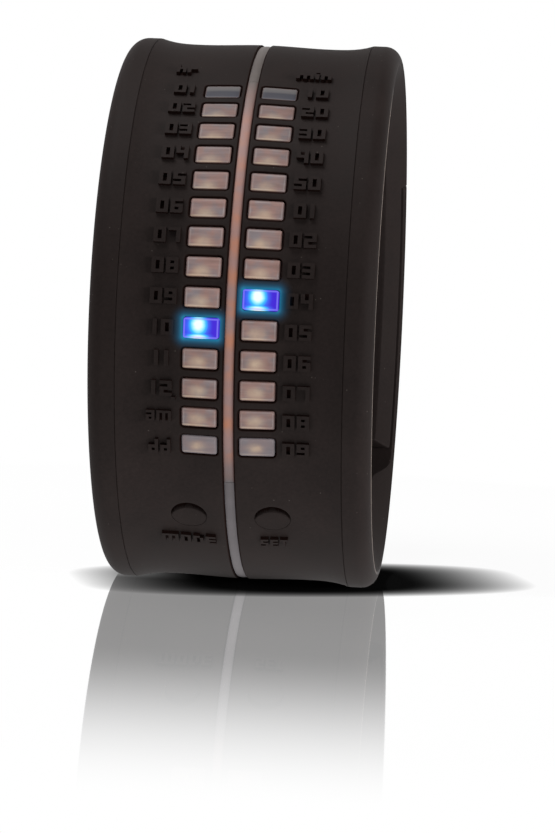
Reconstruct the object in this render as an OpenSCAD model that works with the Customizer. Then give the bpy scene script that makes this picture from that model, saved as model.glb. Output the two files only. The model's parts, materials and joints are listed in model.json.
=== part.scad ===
// Digital cuff watch, standing on the rim of its band. X runs along the wrist, the dial faces -Y.
// Angles go up and over from the middle of the dial: 0 is the front, 90 the top, 180 the back.

/* [Band] */
// Radius of the opening for the wrist
wrist_r = 29.6; // [26:0.1:36]
// Width of the band along the wrist
band_w = 33.92; // [33:0.02:40]
// Rubber over the module, on the centre line
cover_t = 1.2; // [1.1:0.05:2.5]
// Distance of the crease from the centre line
crease_x = 13.5; // [13.2:0.1:14.2]
// Distance of the panel's lowest line from the centre line
dip_x = 8.2; // [6:0.1:10]
// Depth of the panel's lowest line
dip = 0.24; // [0:0.02:0.4]
// Height of the rim's crest over the centre line
crest_rise = 0.38; // [0.2:0.02:1]
// Rounding of the band's outer corner
lip_r = 2; // [1:0.1:2.4]
// How far in from the edge the wrist opening starts to flare
flare_w = 2.6; // [1:0.1:2.8]
// Depth of the flat that the rims stand on
foot_depth = 0.5; // [0.3:0.05:0.7]

/* [Strap closure] */
// Angle at which the tongue leaves the thick band
tongue_root_angle = 150; // [140:1:154]
// Angle at the tip of the tongue
tongue_tip_angle = 218; // [214:1:220]
// Thickness of the tongue
tongue_t = 2; // [1.8:0.1:2.2]
// Angle at which the outer strap end leaves the thick band
clasp_root_angle = 232; // [231:0.5:236]
// Length of the ramp inside the outer strap end, in degrees
ramp_angle = 11; // [8:0.5:12]
// Corner rounding of both strap ends
strap_corner_r = 2; // [1.5:0.5:6]
// Space between the tongue and the outer strap end
overlap_gap = 0.25; // [0.2:0.05:0.4]
// Space between a strap end's root and the thick band
root_gap = 0.3; // [0.2:0.05:0.5]
// Angle of the snap studs
stud_angle = 196; // [190:1:200]
// Distance of the snap studs from the centre line
stud_x = 7; // [5:0.5:9]
// Diameter of a snap stud's head
stud_d = 2.6; // [2:0.1:2.8]
// Height of a snap stud's head
stud_h = 1.25; // [1:0.05:1.4]
// Bevel of a snap stud's tip
stud_bevel = 0.38; // [0.2:0.02:0.5]
// Diameter of a snap stud's neck
stud_neck_d = 1.6; // [1.2:0.1:2]
// Diameter of the rivet plate outside
rivet_plate_d = 5; // [4:0.2:6]
// Thickness of the rivet plate
rivet_plate_t = 0.5; // [0.4:0.05:0.6]
// Diameter of the washer inside
washer_d = 4.6; // [4:0.2:6]
// Thickness of the washer
washer_t = 0.3; // [0.2:0.05:0.4]
// Outer diameter of an eyelet
eyelet_d = 4.2; // [4:0.1:4.6]
// Bore of an eyelet
eyelet_bore = 3.4; // [3.3:0.1:3.6]
// Depth of an eyelet's ends under the tongue's faces
eyelet_sink = 0.15; // [0.1:0.05:0.3]
// Number of eyelet pairs
eyelet_pairs = 5; // [3:1:5]
// Angle between eyelet pairs
eyelet_step = 9; // [8.5:0.25:9]

/* [Dial] */
// Number of windows in a column
rows = 14; // [10:1:14]
// Angle of the first window
first_row_angle = 55.8; // [55:0.1:56]
// Angle between windows
row_pitch_angle = 6.14; // [5.8:0.02:6.2]
// Distance of a window's middle from the centre line
window_x = 3.44; // [3.38:0.01:3.5]
// Width of a window
window_w = 4.5; // [4:0.02:4.5]
// Height of a window
window_h = 2.7; // [2.4:0.02:2.7]
// Depth of a window's face under the centre line
window_recess = 0.26; // [0.24:0.02:0.6]
// Space round a window's lug
lug_gap = 0.14; // [0.04:0.02:0.16]
// Width of the translucent line
line_w = 1.24; // [1:0.02:1.3]
// Thickness of the translucent line outside the dial
line_t = 0.6; // [0.4:0.05:0.7]
// Depth of the translucent line under the centre line
line_recess = 0.15; // [0.13:0.01:0.3]
// Space beside the translucent line
line_gap = 0.04; // [0.02:0.01:0.08]
// Angle at the lower end of the lit bar
bar_bottom_angle = -33; // [-36:1:-32]
// Angle at the upper end of the lit bar
bar_top_angle = 60; // [59.6:0.1:60]

/* [Buttons] */
// Angle of the buttons
button_angle = -43; // [-43.2:0.1:-42]
// Distance of a button's middle from the centre line
button_x = 5.08; // [4.8:0.1:6]
// Diameter of a button
button_d = 3.7; // [3:0.1:4]
// Diameter of the recess round a button
button_hole_d = 4.4; // [4.3:0.1:4.6]
// Diameter of a button's flange
button_flange_d = 4.9; // [4.8:0.1:5.4]
// Thickness of a button's flange
button_flange_t = 0.2; // [0.15:0.05:0.25]
// Diameter of a button's stem
stem_d = 2.4; // [1.6:0.1:2.8]
// Clearance round a stem
stem_clearance = 0.05; // [0.03:0.01:0.08]
// Room round a button's flange
flange_room = 0.25; // [0.1:0.05:0.3]
// Bevel of a button's edge
button_edge = 0.2; // [0.1:0.05:0.3]
// Travel of a button
button_travel = 0.3; // [0.2:0.05:0.35]

/* [Module] */
// Width of the module frame
frame_w = 27.2; // [27:0.1:27.4]
// Angle at the module's upper end
module_top_angle = 63.5; // [63.3:0.1:66]
// Angle at the module's lower end
module_bottom_angle = -106.8; // [-110:0.2:-106.8]
// Angle between the back case and the battery hatch
split_angle = -51.4; // [-51.6:0.1:-51.4]
// Thickness of the back case and the battery hatch
plate_t = 0.6; // [0.55:0.05:1]
// Space between pieces that seat on each other
seat_gap = 0.05; // [0.03:0.01:0.06]
// Wall between the board's cavity and a gasket's groove
cavity_wall = 0.4; // [0.3:0.05:0.8]
// Angle at the cavity's upper end
cavity_top_angle = 60.6; // [60.4:0.1:60.8]
// Angle at the cavity's lower end
cavity_bottom_angle = -48.6; // [-48.8:0.1:-48.4]
// Room for components under the board
part_room = 0.95; // [0.95:0.05:1.2]
// Thickness of the board
board_t = 0.15; // [0.1:0.05:0.2]
// Thickness of the light baffle
baffle_t = 0.68; // [0.66:0.02:0.8]
// Thickness of the window plates' base
lens_base_t = 0.6; // [0.5:0.05:0.65]
// Width of a window plate
lens_w = 5.2; // [5.15:0.05:5.3]
// Length of a window plate past its end windows
lens_margin = 0.6; // [0.5:0.05:0.7]
// Width of the light baffle
baffle_w = 12; // [11.8:0.1:12]
// Width of the baffle's slot behind the lit bar
bar_slot_w = 0.8; // [0.6:0.1:1]
// How far the baffle's cells stand in from the windows' sides
cell_lip_x = 0.35; // [0.25:0.05:0.5]
// How far the baffle's cells stand in from the windows' upper and lower edges
cell_lip_y = 0.3; // [0.2:0.05:0.4]
// Width of a gasket's cord
gasket_w = 0.6; // [0.5:0.05:0.65]
// Height of a gasket's cord
gasket_h = 0.45; // [0.4:0.05:0.5]
// Distance of a gasket's outer edge from the line of the screws
gasket_inset = 1.4; // [1.3:0.05:1.45]
// Distance of a gasket's outer edge from the end of its plate
gasket_margin = 0.5; // [0.4:0.05:0.5]

/* [Electronics] */
// Length of an LED along the wrist
led_l = 1.6; // [1:0.1:2]
// Width of an LED
led_w = 0.8; // [0.5:0.05:1.2]
// Height of an LED
led_h = 0.55; // [0.3:0.05:0.6]
// Side of the controller chip
controller_w = 5; // [3:0.5:6]
// Angle of the controller chip
controller_angle = 18; // [16:1:20]
// Side of the LED driver chip
driver_w = 4; // [3:0.5:6]
// Angle of the LED driver chip
driver_angle = -10; // [-12:1:-8]
// Height of the chips
chip_h = 0.65; // [0.4:0.05:0.65]
// Length of the quartz crystal
crystal_l = 3.2; // [2:0.1:4]
// Width of the quartz crystal
crystal_w = 1.5; // [1:0.1:2]
// Height of the quartz crystal
crystal_h = 0.6; // [0.4:0.05:0.65]
// Angle of the quartz crystal
crystal_angle = 30; // [29:1:31]
// Distance of the quartz crystal from the centre line
crystal_x = 3; // [2:0.5:5]
// Length of a capacitor
capacitor_l = 1; // [0.6:0.1:1.6]
// Width of a capacitor
capacitor_w = 0.5; // [0.3:0.1:0.8]
// Height of a capacitor
capacitor_h = 0.5; // [0.3:0.05:0.6]
// Distance of the capacitors from the centre line
capacitor_x = 5; // [4.5:0.1:5.4]
// Length of a resistor
resistor_l = 0.6; // [0.4:0.1:1]
// Width of a resistor
resistor_w = 0.3; // [0.2:0.05:0.5]
// Height of a resistor
resistor_h = 0.25; // [0.2:0.05:0.4]
// Distance of the resistors from the centre line
resistor_x = 7; // [6.8:0.1:8]
// Diameter of a switch dome
dome_d = 3.2; // [2.4:0.1:3.4]
// Height of a switch dome
dome_h = 0.2; // [0.15:0.01:0.22]
// Room round a switch dome
dome_room = 0.4; // [0.2:0.05:0.5]
// Diameter of a coin cell
cell_d = 12.5; // [11:0.1:12.6]
// Thickness of a coin cell
cell_h = 1.6; // [1.2:0.1:1.65]
// Room round a coin cell
cell_room = 0.15; // [0.1:0.05:0.2]
// Rounding of a coin cell's rim
cell_edge = 0.25; // [0.1:0.05:0.4]
// Thickness of a cell's leaf contact
leaf_t = 0.12; // [0.1:0.01:0.15]
// Width of a cell's leaf contact
leaf_w = 1.6; // [1:0.1:2.4]
// Length of a cell's leaf contact
leaf_l = 10; // [8:0.1:10.5]
// Thickness of a cell's side contact
contact_t = 0.3; // [0.2:0.05:0.4]
// Width of a cell's side contact
contact_w = 2.4; // [1.6:0.1:3]
// Height of a cell's side contact
contact_h = 1.28; // [1:0.02:1.3]
// Room round a cell's side contact
contact_room = 0.3; // [0.1:0.05:0.4]
// Angle of the upper coin cell
cell_angle = -66.4; // [-66.6:0.1:-66.3]
// Angle between the coin cells
cell_step = 25; // [25:0.1:25.2]

/* [Screws] */
// Distance of the screws from the module's sides
screw_inset = 1.4; // [1.35:0.05:1.45]
// Distance of the end screws from their plate's ends
screw_margin = 1.9; // [1.8:0.1:2]
// Diameter of a screw's shank
screw_d = 1; // [0.8:0.1:1.1]
// Length of a screw's shank
screw_l = 1.6; // [1.2:0.1:1.7]
// Diameter of a screw's head
screw_head_d = 1.9; // [1.6:0.1:2]
// Thickness of a screw's head
screw_head_t = 0.25; // [0.2:0.05:0.3]
// Depth of a screw's head under the plate's face
screw_sink = 0.08; // [0.05:0.01:0.1]
// Clearance round a screw in its plate
screw_room = 0.1; // [0.05:0.05:0.15]
// Width of a screw's slot
slot_w = 0.25; // [0.2:0.05:0.4]
// Length of a screw's slot
slot_l = 1.2; // [0.8:0.1:1.4]
// Depth of a screw's slot
slot_depth = 0.15; // [0.1:0.01:0.18]
// Outer diameter of a brass insert
insert_d = 2; // [1.8:0.1:2.1]
// Length of a brass insert
insert_l = 1.5; // [1.2:0.1:1.7]

/* [Hidden] */
$fn = 96;

// Radial stack from the wrist outwards
plate_top = wrist_r + plate_t;
frame_bottom = plate_top + seat_gap;
board_bottom = frame_bottom + part_room;
board_top = board_bottom + board_t;
baffle_bottom = board_top + seat_gap;
baffle_top = baffle_bottom + baffle_t;
lens_bottom = baffle_top + seat_gap;
lens_top = lens_bottom + lens_base_t;
cover_bottom = lens_top + seat_gap;
band_r = cover_bottom + cover_t;
crest_r = band_r + crest_rise;
flare_top = crest_r - lip_r;
line_top = band_r - line_recess;
groove_bottom = line_top - line_t - seat_gap;
centre_z = crest_r - foot_depth;
band_half = band_w / 2;
// Cuts run this far past what they cut; round ones start at their own radius, so that none is tangent
cut = 1;
bore_start = wrist_r - cut / 2;
block_start = wrist_r - cut;

// Strap ends
tongue_top = wrist_r + tongue_t;
clasp_bottom = tongue_top + overlap_gap;
function turn(length, radius) = length / radius * 180 / PI;
root_turn = turn(root_gap, band_r);
clasp_from = tongue_root_angle + root_turn;
clasp_to = clasp_root_angle - root_turn;
washer_bottom = clasp_bottom + seat_gap;
washer_seat = washer_bottom + washer_t + seat_gap / 2;
rivet_seat = band_r - dip - rivet_plate_t - seat_gap / 2;
// The thick band's lower end, as an angle below the front
band_from = clasp_root_angle - 360;

// Dial
last_row_angle = first_row_angle - (rows - 1) * row_pitch_angle;
lens_turn = turn(window_h / 2 + lens_margin, lens_top);
lens_high = first_row_angle + lens_turn;
lens_low = last_row_angle - lens_turn;
seat_turn = turn(seat_gap, lens_top);
lens_inner_x = line_w / 2 + seat_gap * 2;
optic_half = max(baffle_w / 2, lens_inner_x + lens_w) + seat_gap;
window_face = band_r - window_recess;

// What is soldered to the board, and the buttons from the switch dome outwards
part_gap = seat_gap / 5;
part_seat = board_top + part_gap;
stem_end = part_seat + dome_h + button_travel + seat_gap;
flange_top = sqrt(pow(cover_bottom, 2) - pow(button_flange_d / 2, 2)) - seat_gap;
flange_bottom = flange_top - button_flange_t;
pocket_floor = flange_bottom - button_travel - seat_gap;
web_bottom = stem_end - button_travel;
capacitor_angles = [-22, 4, 36];
resistor_angles = [-30, -2, 10, 44];

// Module
frame_half = frame_w / 2;
frame_top = lens_top;
screw_x = frame_half - screw_inset;
gasket_x = screw_x - gasket_inset;
cavity_half = gasket_x - gasket_w - cavity_wall;
board_half = cavity_half - seat_gap * 2;
gasket_turn = turn(gasket_w, frame_bottom);
gasket_seat = turn(gasket_margin, frame_bottom);
cell_bottom = frame_bottom;
cell_top = cell_bottom + cell_h;
leaf_bottom = cell_top + seat_gap / 2;
pocket_top = leaf_bottom + leaf_t + seat_gap;
pocket_r = cell_d / 2 + cell_room;
contact_notch = contact_t + contact_room;
head_bottom = wrist_r + screw_sink;
head_top = head_bottom + screw_head_t;
insert_bottom = frame_bottom + seat_gap;
screw_turn = turn(screw_margin, frame_bottom);
case_screw_angles = [module_top_angle - screw_turn, (module_top_angle + split_angle) / 2,
    split_angle + screw_turn];
hatch_screw_angles = [split_angle - screw_turn, module_bottom_angle + screw_turn];
screw_angles = concat(case_screw_angles, hatch_screw_angles);

// Puts children at an angle round the band, x along the wrist and r out from its axis, with Z outwards.
module at(angle, x = 0, r = 0) {
    translate([0, 0, centre_z]) rotate([90 - angle, 0, 0]) translate([x, 0, r]) children();
}

// Lays a flat drawing of radius and height square to the wrist, so that its angles are the band's.
module ring_frame() {
    translate([0, 0, centre_z]) rotate([90, 0, 0]) rotate([0, -90, 0]) children();
}

// Turns a drawing of [radius, -x] through part of the ring.
module sweep(from, to) {
    ring_frame() rotate([0, 0, from]) rotate_extrude(angle = to - from) children();
}

// A curved block between two angles, two radii and two places along the wrist.
module block(from, to, r1, r2, x1, x2) {
    sweep(from, to) polygon([[r1, -x1], [r2, -x1], [r2, -x2], [r1, -x2]]);
}

// A curved frame: a block with its middle open.
module loop_block(from, to, r1, r2, half, wall, wall_turn) {
    difference() {
        block(from, to, r1, r2, -half, half);
        block(from + wall_turn, to - wall_turn, r1 - cut, r2 + cut, wall - half, half - wall);
    }
}

// Rise of the outer surface over the centre line: a shallow dip, then up to the crease.
function panel_rise(x) = x < dip_x
    ? -dip * (1 - cos(180 * x / dip_x)) / 2
    : -dip + (dip + crest_rise) * pow((x - dip_x) / (crease_x - dip_x), 3);

// Half of the outer outline, from the centre line to the band's edge.
dip_steps = 3;
rise_steps = 4;
lip_steps = 5;
outer_half = concat(
    [for (i = [1:dip_steps]) let (x = dip_x * i / dip_steps) [band_r + panel_rise(x), x]],
    [for (i = [1:rise_steps]) let (x = dip_x + (crease_x - dip_x) * i / rise_steps)
        [band_r + panel_rise(x), x]],
    [for (i = [0:lip_steps]) let (a = 90 * i / lip_steps)
        [crest_r - lip_r * (1 - cos(a)), band_half - lip_r * (1 - sin(a))]]
);

function mirrored(points) = [for (i = [len(points) - 1:-1:0]) [points[i][0], -points[i][1]]];

// Place of the flared edge along the wrist, at a radius: the flare ends in the outer corner's round.
function flare_x(r) = band_half - flare_w * max(0, (flare_top - r) / (flare_top - wrist_r));

// The band's outline above a given inner radius.
module band_outline(inner_r) {
    half = concat(outer_half, [[inner_r, flare_x(inner_r)]]);
    polygon(concat([[band_r, 0]], half, mirrored(half)));
}

module tongue_outline() {
    half = [for (r = [wrist_r, tongue_top]) [r, flare_x(r)]];
    polygon(concat(half, mirrored(half)));
}

// Everything under the table, which flattens the rims.
module under_table() {
    translate([-band_w, -crest_r, -crest_r]) cube([band_w * 2, crest_r * 2, crest_r]);
}

// Cuts that round the two corners of a strap end; side is 1 where the strap runs on to greater angles.
// The round runs a little past both edges, so that it crosses them and isn't tangent.
module end_corner_cuts(angle, side) {
    height = crest_r - wrist_r + cut * 2;
    past_edge = 0.05;
    centre = strap_corner_r - past_edge;
    for (x = [-1, 1]) at(angle, 0, wrist_r - cut) difference() {
        translate([x * (band_half + (cut - strap_corner_r) / 2), side * (strap_corner_r / 2 - cut), 0])
            translate([0, 0, height / 2])
                cube([strap_corner_r + cut, strap_corner_r + cut * 2, height], center = true);
        translate([x * (band_half - centre), side * centre, -cut])
            cylinder(r = strap_corner_r, h = height + cut * 2);
    }
}

// Children at the middle of each window in the column on one side.
module each_row(side, r) {
    for (i = [0:rows - 1]) at(first_row_angle - i * row_pitch_angle, side * window_x, r) children();
}

module each_button(r) {
    for (side = [-1, 1]) at(button_angle, side * button_x, r) children();
}

module each_cell(r) {
    for (i = [0, 1]) at(cell_angle - i * cell_step, 0, r) children();
}

module each_screw(angles, r) {
    for (a = angles, side = [-1, 1]) at(a, side * screw_x, r) children();
}

module each_stud(r) {
    for (side = [-1, 1]) at(stud_angle, side * stud_x, r) children();
}

module each_eyelet(r) {
    for (i = [0:eyelet_pairs - 1], side = [-1, 1])
        at(stud_angle + eyelet_step * (1 - i), side * stud_x, r) children();
}

module front_band() {
    color("#2b2725") difference() {
        sweep(band_from, tongue_root_angle) band_outline(wrist_r);
        block(module_bottom_angle - seat_turn, module_top_angle + seat_turn,
            block_start, cover_bottom, -frame_half - seat_gap, frame_half + seat_gap);
        block(band_from - cut, tongue_root_angle + cut, groove_bottom, crest_r,
            -line_w / 2 - line_gap, line_w / 2 + line_gap);
        block(bar_bottom_angle - seat_turn, bar_top_angle + seat_turn, block_start, crest_r,
            -line_w / 2 - line_gap, line_w / 2 + line_gap);
        for (side = [-1, 1]) each_row(side, band_r)
            cube([window_w, window_h, cover_t * 2 + cut], center = true);
        each_button(bore_start) cylinder(d = button_hole_d, h = crest_r - bore_start);
        under_table();
    }
}

// A stretch of the translucent line that starts at the radius bottom.
module line(from, to, bottom) {
    block(from, to, bottom, line_top, -line_w / 2, line_w / 2);
}

module band_line() {
    color("#82808a") difference() {
        union() {
            line(bar_top_angle + seat_turn, tongue_root_angle, groove_bottom + seat_gap);
            line(band_from, bar_bottom_angle - seat_turn, groove_bottom + seat_gap);
        }
        under_table();
    }
}

module light_bar() {
    color("#aa6e5f") line(bar_bottom_angle, bar_top_angle, lens_bottom);
}

// A clear plate under the rubber with a lug up through each window of one column.
module window_plate(side) {
    lug_h = window_face - lens_bottom - seat_gap;
    color("#b39d92") union() {
        block(lens_low, lens_high, lens_bottom, lens_top,
            side * lens_inner_x, side * (lens_inner_x + lens_w));
        each_row(side, lens_bottom + seat_gap) translate([0, 0, lug_h / 2])
            cube([window_w - lug_gap * 2, window_h - lug_gap * 2, lug_h], center = true);
    }
}

module hour_windows() window_plate(-1);

module minute_windows() window_plate(1);

// A frame's groove for the gasket of the plate that lies between two angles.
module gasket_groove(from, to) {
    loop_block(from + gasket_seat - seat_turn, to - gasket_seat + seat_turn,
        block_start, frame_bottom + gasket_h + seat_gap,
        gasket_x + seat_gap, gasket_w + seat_gap * 2, gasket_turn + seat_turn * 2);
}

module module_frame() {
    color("#1d1e21") difference() {
        block(module_bottom_angle, module_top_angle, frame_bottom, frame_top, -frame_half, frame_half);
        block(cavity_bottom_angle, cavity_top_angle, block_start, baffle_bottom,
            -cavity_half, cavity_half);
        block(lens_low - seat_turn * 2, lens_high + seat_turn * 2, block_start, crest_r,
            -optic_half, optic_half);
        block(bar_bottom_angle - seat_turn, bar_top_angle + seat_turn, block_start, crest_r,
            -lens_inner_x, lens_inner_x);
        each_button(bore_start) cylinder(d = dome_d + dome_room * 2, h = web_bottom - bore_start);
        each_button(bore_start) cylinder(d = stem_d + stem_clearance * 2, h = crest_r - bore_start);
        each_button(pocket_floor)
            cylinder(d = button_flange_d + flange_room * 2, h = crest_r - pocket_floor);
        each_cell(bore_start) cylinder(r = pocket_r, h = pocket_top - bore_start);
        each_cell(bore_start) translate([pocket_r - contact_notch, -contact_w / 2 - contact_room, 0])
            cube([contact_notch * 2, contact_w + contact_room * 2, leaf_bottom - bore_start]);
        each_screw(screw_angles, bore_start)
            cylinder(d = insert_d + seat_gap, h = insert_bottom + insert_l + seat_gap - bore_start);
        gasket_groove(split_angle, module_top_angle);
        gasket_groove(module_bottom_angle, split_angle);
    }
}

module light_baffle() {
    color("#e4e2dc") difference() {
        block(lens_low - seat_turn, lens_high + seat_turn, baffle_bottom, baffle_top,
            -baffle_w / 2, baffle_w / 2);
        for (side = [-1, 1]) each_row(side, baffle_bottom)
            cube([window_w - cell_lip_x * 2, window_h - cell_lip_y * 2, baffle_t * 3], center = true);
        block(lens_low + lens_turn / 2, lens_high - lens_turn / 2, block_start, crest_r,
            -bar_slot_w / 2, bar_slot_w / 2);
    }
}

module circuit_board() {
    color("#c07a2c") block(cavity_bottom_angle + seat_turn * 3, cavity_top_angle - seat_turn * 3,
        board_bottom, board_top, -board_half, board_half);
}

module led_column(side) {
    color("#f2eecb") each_row(side, part_seat + led_h / 2) cube([led_l, led_w, led_h], center = true);
}

module hour_leds() led_column(-1);

module minute_leds() led_column(1);

// A flat component on the board's inner face, at an angle and a place along the wrist.
module component(angle, x, size) {
    face = sqrt(pow(board_bottom, 2) - pow(size[1] / 2, 2)) - part_gap;
    at(angle, x, face - size[2] / 2) cube(size, center = true);
}

module controller_chip() {
    color("#202124") component(controller_angle, 0, [controller_w, controller_w, chip_h]);
}

module led_driver_chip() {
    color("#26282b") component(driver_angle, 0, [driver_w, driver_w, chip_h]);
}

module quartz_crystal() {
    color("#c9ccd0") component(crystal_angle, crystal_x, [crystal_l, crystal_w, crystal_h]);
}

module capacitors() {
    color("#b08d57") for (a = capacitor_angles, side = [-1, 1])
        component(a, side * capacitor_x, [capacitor_l, capacitor_w, capacitor_h]);
}

module resistors() {
    color("#303236") for (a = resistor_angles, side = [-1, 1])
        component(a, side * resistor_x, [resistor_l, resistor_w, resistor_h]);
}

module switch_domes() {
    color("#c5c8cc") each_button(part_seat)
        cylinder(d1 = dome_d, d2 = dome_d / 2, h = dome_h);
}

// A cap on a flange, with a stem that reaches the switch dome.
module button() {
    rotate_extrude() polygon([
        [0, stem_end], [stem_d / 2, stem_end], [stem_d / 2, flange_bottom],
        [button_flange_d / 2, flange_bottom], [button_flange_d / 2, flange_top],
        [button_d / 2, flange_top], [button_d / 2, band_r - button_edge],
        [button_d / 2 - button_edge * 2, band_r], [0, band_r]
    ]);
}

module mode_button() {
    color("#2f2b28") at(button_angle, -button_x) button();
}

module set_button() {
    color("#2f2b28") at(button_angle, button_x) button();
}

module coin_cells() {
    color("#b9bcc0") each_cell(cell_bottom) {
        cylinder(d = cell_d, h = cell_h - cell_edge);
        cylinder(d = cell_d - cell_edge * 6, h = cell_h);
    }
}

module cell_leaf_contacts() {
    color("#c8a24a") each_cell(leaf_bottom + leaf_t / 2) cube([leaf_l, leaf_w, leaf_t], center = true);
}

module cell_side_contacts() {
    color("#c8a24a") each_cell(cell_bottom + cell_h / 2)
        translate([pocket_r + contact_t / 2, 0, 0])
            cube([contact_t, contact_w, contact_h], center = true);
}

// A curved steel plate with a recess for each screw head.
module screwed_plate(from, to, angles) {
    head_seat = head_top + seat_gap / 2;
    difference() {
        block(from, to, wrist_r, plate_top, -frame_half, frame_half);
        each_screw(angles, wrist_r - cut) cylinder(d = screw_d + screw_room * 2, h = plate_t + cut * 2);
        each_screw(angles, wrist_r - cut)
            cylinder(d = screw_head_d + screw_room * 2, h = head_seat - wrist_r + cut);
    }
}

module back_case() {
    color("#9a9ca0") screwed_plate(split_angle + seat_turn, module_top_angle, case_screw_angles);
}

module battery_hatch() {
    color("#9a9ca0") screwed_plate(module_bottom_angle, split_angle - seat_turn, hatch_screw_angles);
}

module gasket(from, to) {
    color("#3a3a3c") loop_block(from + gasket_seat, to - gasket_seat,
        frame_bottom, frame_bottom + gasket_h, gasket_x, gasket_w, gasket_turn);
}

module back_gasket() gasket(split_angle, module_top_angle);

module hatch_gasket() gasket(module_bottom_angle, split_angle);

module screws(angles) {
    color("#c3c5c8") each_screw(angles, head_bottom) difference() {
        union() {
            cylinder(d = screw_head_d, h = screw_head_t);
            cylinder(d = screw_d, h = screw_head_t + screw_l);
        }
        cube([slot_w, slot_l, slot_depth * 2], center = true);
    }
}

module back_case_screws() screws(case_screw_angles);

module hatch_screws() screws(hatch_screw_angles);

module screw_inserts() {
    color("#b58a3c") each_screw(screw_angles, insert_bottom) difference() {
        cylinder(d = insert_d, h = insert_l);
        translate([0, 0, -cut]) cylinder(d = screw_d + seat_gap, h = insert_l + cut * 2);
    }
}

// The space for the tongue under the outer strap end, with the ramp past the tongue's tip.
module tongue_space() {
    steps = 6;
    ramp_from = clasp_to - ramp_angle;
    drop = clasp_bottom - wrist_r + seat_gap;
    ramp = [for (i = [0:steps])
        let (a = ramp_from + ramp_angle * i / steps)
        let (r = clasp_bottom - drop * (1 - cos(180 * i / steps)) / 2)
            [r * cos(a), r * sin(a)]];
    floor = [for (a = [clasp_to, ramp_from]) [block_start * cos(a), block_start * sin(a)]];
    block(clasp_from - cut, ramp_from, block_start, clasp_bottom, -band_half - cut, band_half + cut);
    ring_frame() linear_extrude(height = band_w + cut * 2, center = true) polygon(concat(ramp, floor));
}

module clasp_strap() {
    color("#2b2725") difference() {
        sweep(clasp_from, clasp_to) band_outline(wrist_r);
        tongue_space();
        block(clasp_from - cut, clasp_to + cut, groove_bottom, crest_r,
            -line_w / 2 - line_gap, line_w / 2 + line_gap);
        end_corner_cuts(clasp_from, 1);
        each_stud(bore_start) cylinder(d = stud_neck_d + seat_gap, h = crest_r - bore_start);
        each_stud(rivet_seat) cylinder(d = rivet_plate_d + seat_gap * 2, h = crest_r - rivet_seat);
        each_stud(bore_start) cylinder(d = washer_d + seat_gap * 2, h = washer_seat - bore_start);
    }
}

module clasp_line() {
    color("#82808a") line(clasp_from, clasp_to, groove_bottom + seat_gap);
}

module snap_studs() {
    tip = washer_bottom - stud_h;
    plate = rivet_seat + seat_gap / 2;
    color("#b4b7bb") each_stud(0) rotate_extrude() polygon([
        [0, tip], [stud_d / 2 - stud_bevel, tip], [stud_d / 2, tip + stud_bevel],
        [stud_d / 2, washer_bottom], [stud_neck_d / 2, washer_bottom], [stud_neck_d / 2, plate],
        [rivet_plate_d / 2, plate], [rivet_plate_d / 2, plate + rivet_plate_t], [0, plate + rivet_plate_t]
    ]);
}

module stud_washers() {
    color("#b4b7bb") each_stud(washer_bottom) difference() {
        cylinder(d = washer_d, h = washer_t);
        translate([0, 0, -cut]) cylinder(d = stud_neck_d + seat_gap, h = washer_t + cut * 2);
    }
}

module tongue_strap() {
    color("#2b2725") difference() {
        sweep(tongue_root_angle + turn(root_gap, tongue_top), tongue_tip_angle) tongue_outline();
        end_corner_cuts(tongue_tip_angle, -1);
        each_eyelet(wrist_r - cut) cylinder(d = eyelet_d + seat_gap, h = tongue_t + cut * 2);
    }
}

module snap_eyelets() {
    color("#b58a3c") each_eyelet(wrist_r + eyelet_sink) difference() {
        cylinder(d = eyelet_d, h = tongue_t - eyelet_sink * 2);
        translate([0, 0, -cut]) cylinder(d = eyelet_bore, h = tongue_t + cut * 2);
    }
}

front_band();
band_line();
light_bar();
hour_windows();
minute_windows();
module_frame();
light_baffle();
circuit_board();
hour_leds();
minute_leds();
controller_chip();
led_driver_chip();
quartz_crystal();
capacitors();
resistors();
switch_domes();
coin_cells();
cell_leaf_contacts();
cell_side_contacts();
back_case();
back_gasket();
back_case_screws();
battery_hatch();
hatch_gasket();
hatch_screws();
screw_inserts();
mode_button();
set_button();
clasp_strap();
clasp_line();
snap_studs();
stud_washers();
tongue_strap();
snap_eyelets();
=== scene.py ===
import json
import math

import bmesh
import bpy
from mathutils import Matrix, Vector
from mathutils.geometry import delaunay_2d_cdt


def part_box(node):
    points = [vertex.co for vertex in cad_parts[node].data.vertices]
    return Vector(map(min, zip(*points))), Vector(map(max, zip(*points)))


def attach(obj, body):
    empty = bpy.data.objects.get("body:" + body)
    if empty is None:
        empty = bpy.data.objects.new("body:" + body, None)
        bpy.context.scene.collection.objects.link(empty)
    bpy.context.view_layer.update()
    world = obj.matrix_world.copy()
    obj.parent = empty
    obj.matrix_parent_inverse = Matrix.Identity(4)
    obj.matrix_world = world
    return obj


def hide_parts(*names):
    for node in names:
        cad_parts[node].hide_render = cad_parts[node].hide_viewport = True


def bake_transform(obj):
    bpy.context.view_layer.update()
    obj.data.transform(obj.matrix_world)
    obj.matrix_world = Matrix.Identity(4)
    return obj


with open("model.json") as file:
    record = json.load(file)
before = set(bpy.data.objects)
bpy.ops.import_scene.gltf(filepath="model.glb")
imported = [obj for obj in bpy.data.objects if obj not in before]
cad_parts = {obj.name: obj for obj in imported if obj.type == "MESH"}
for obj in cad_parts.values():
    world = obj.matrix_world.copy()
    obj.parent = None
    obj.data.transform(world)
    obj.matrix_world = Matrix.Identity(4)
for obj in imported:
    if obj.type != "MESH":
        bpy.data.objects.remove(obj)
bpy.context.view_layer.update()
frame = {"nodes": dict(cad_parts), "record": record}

# Looks of the digital cuff watch.
# Lengths are in millimetres until a point is placed, which turns it into metres.
# Angles go up and over from the middle of the dial: 0 is the front, 90 the top, 180 the back.
MM = 0.001
NODES = frame["nodes"]
MOUNTS = {mount["name"]: mount for mount in frame["record"]["mounts"]}

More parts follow.
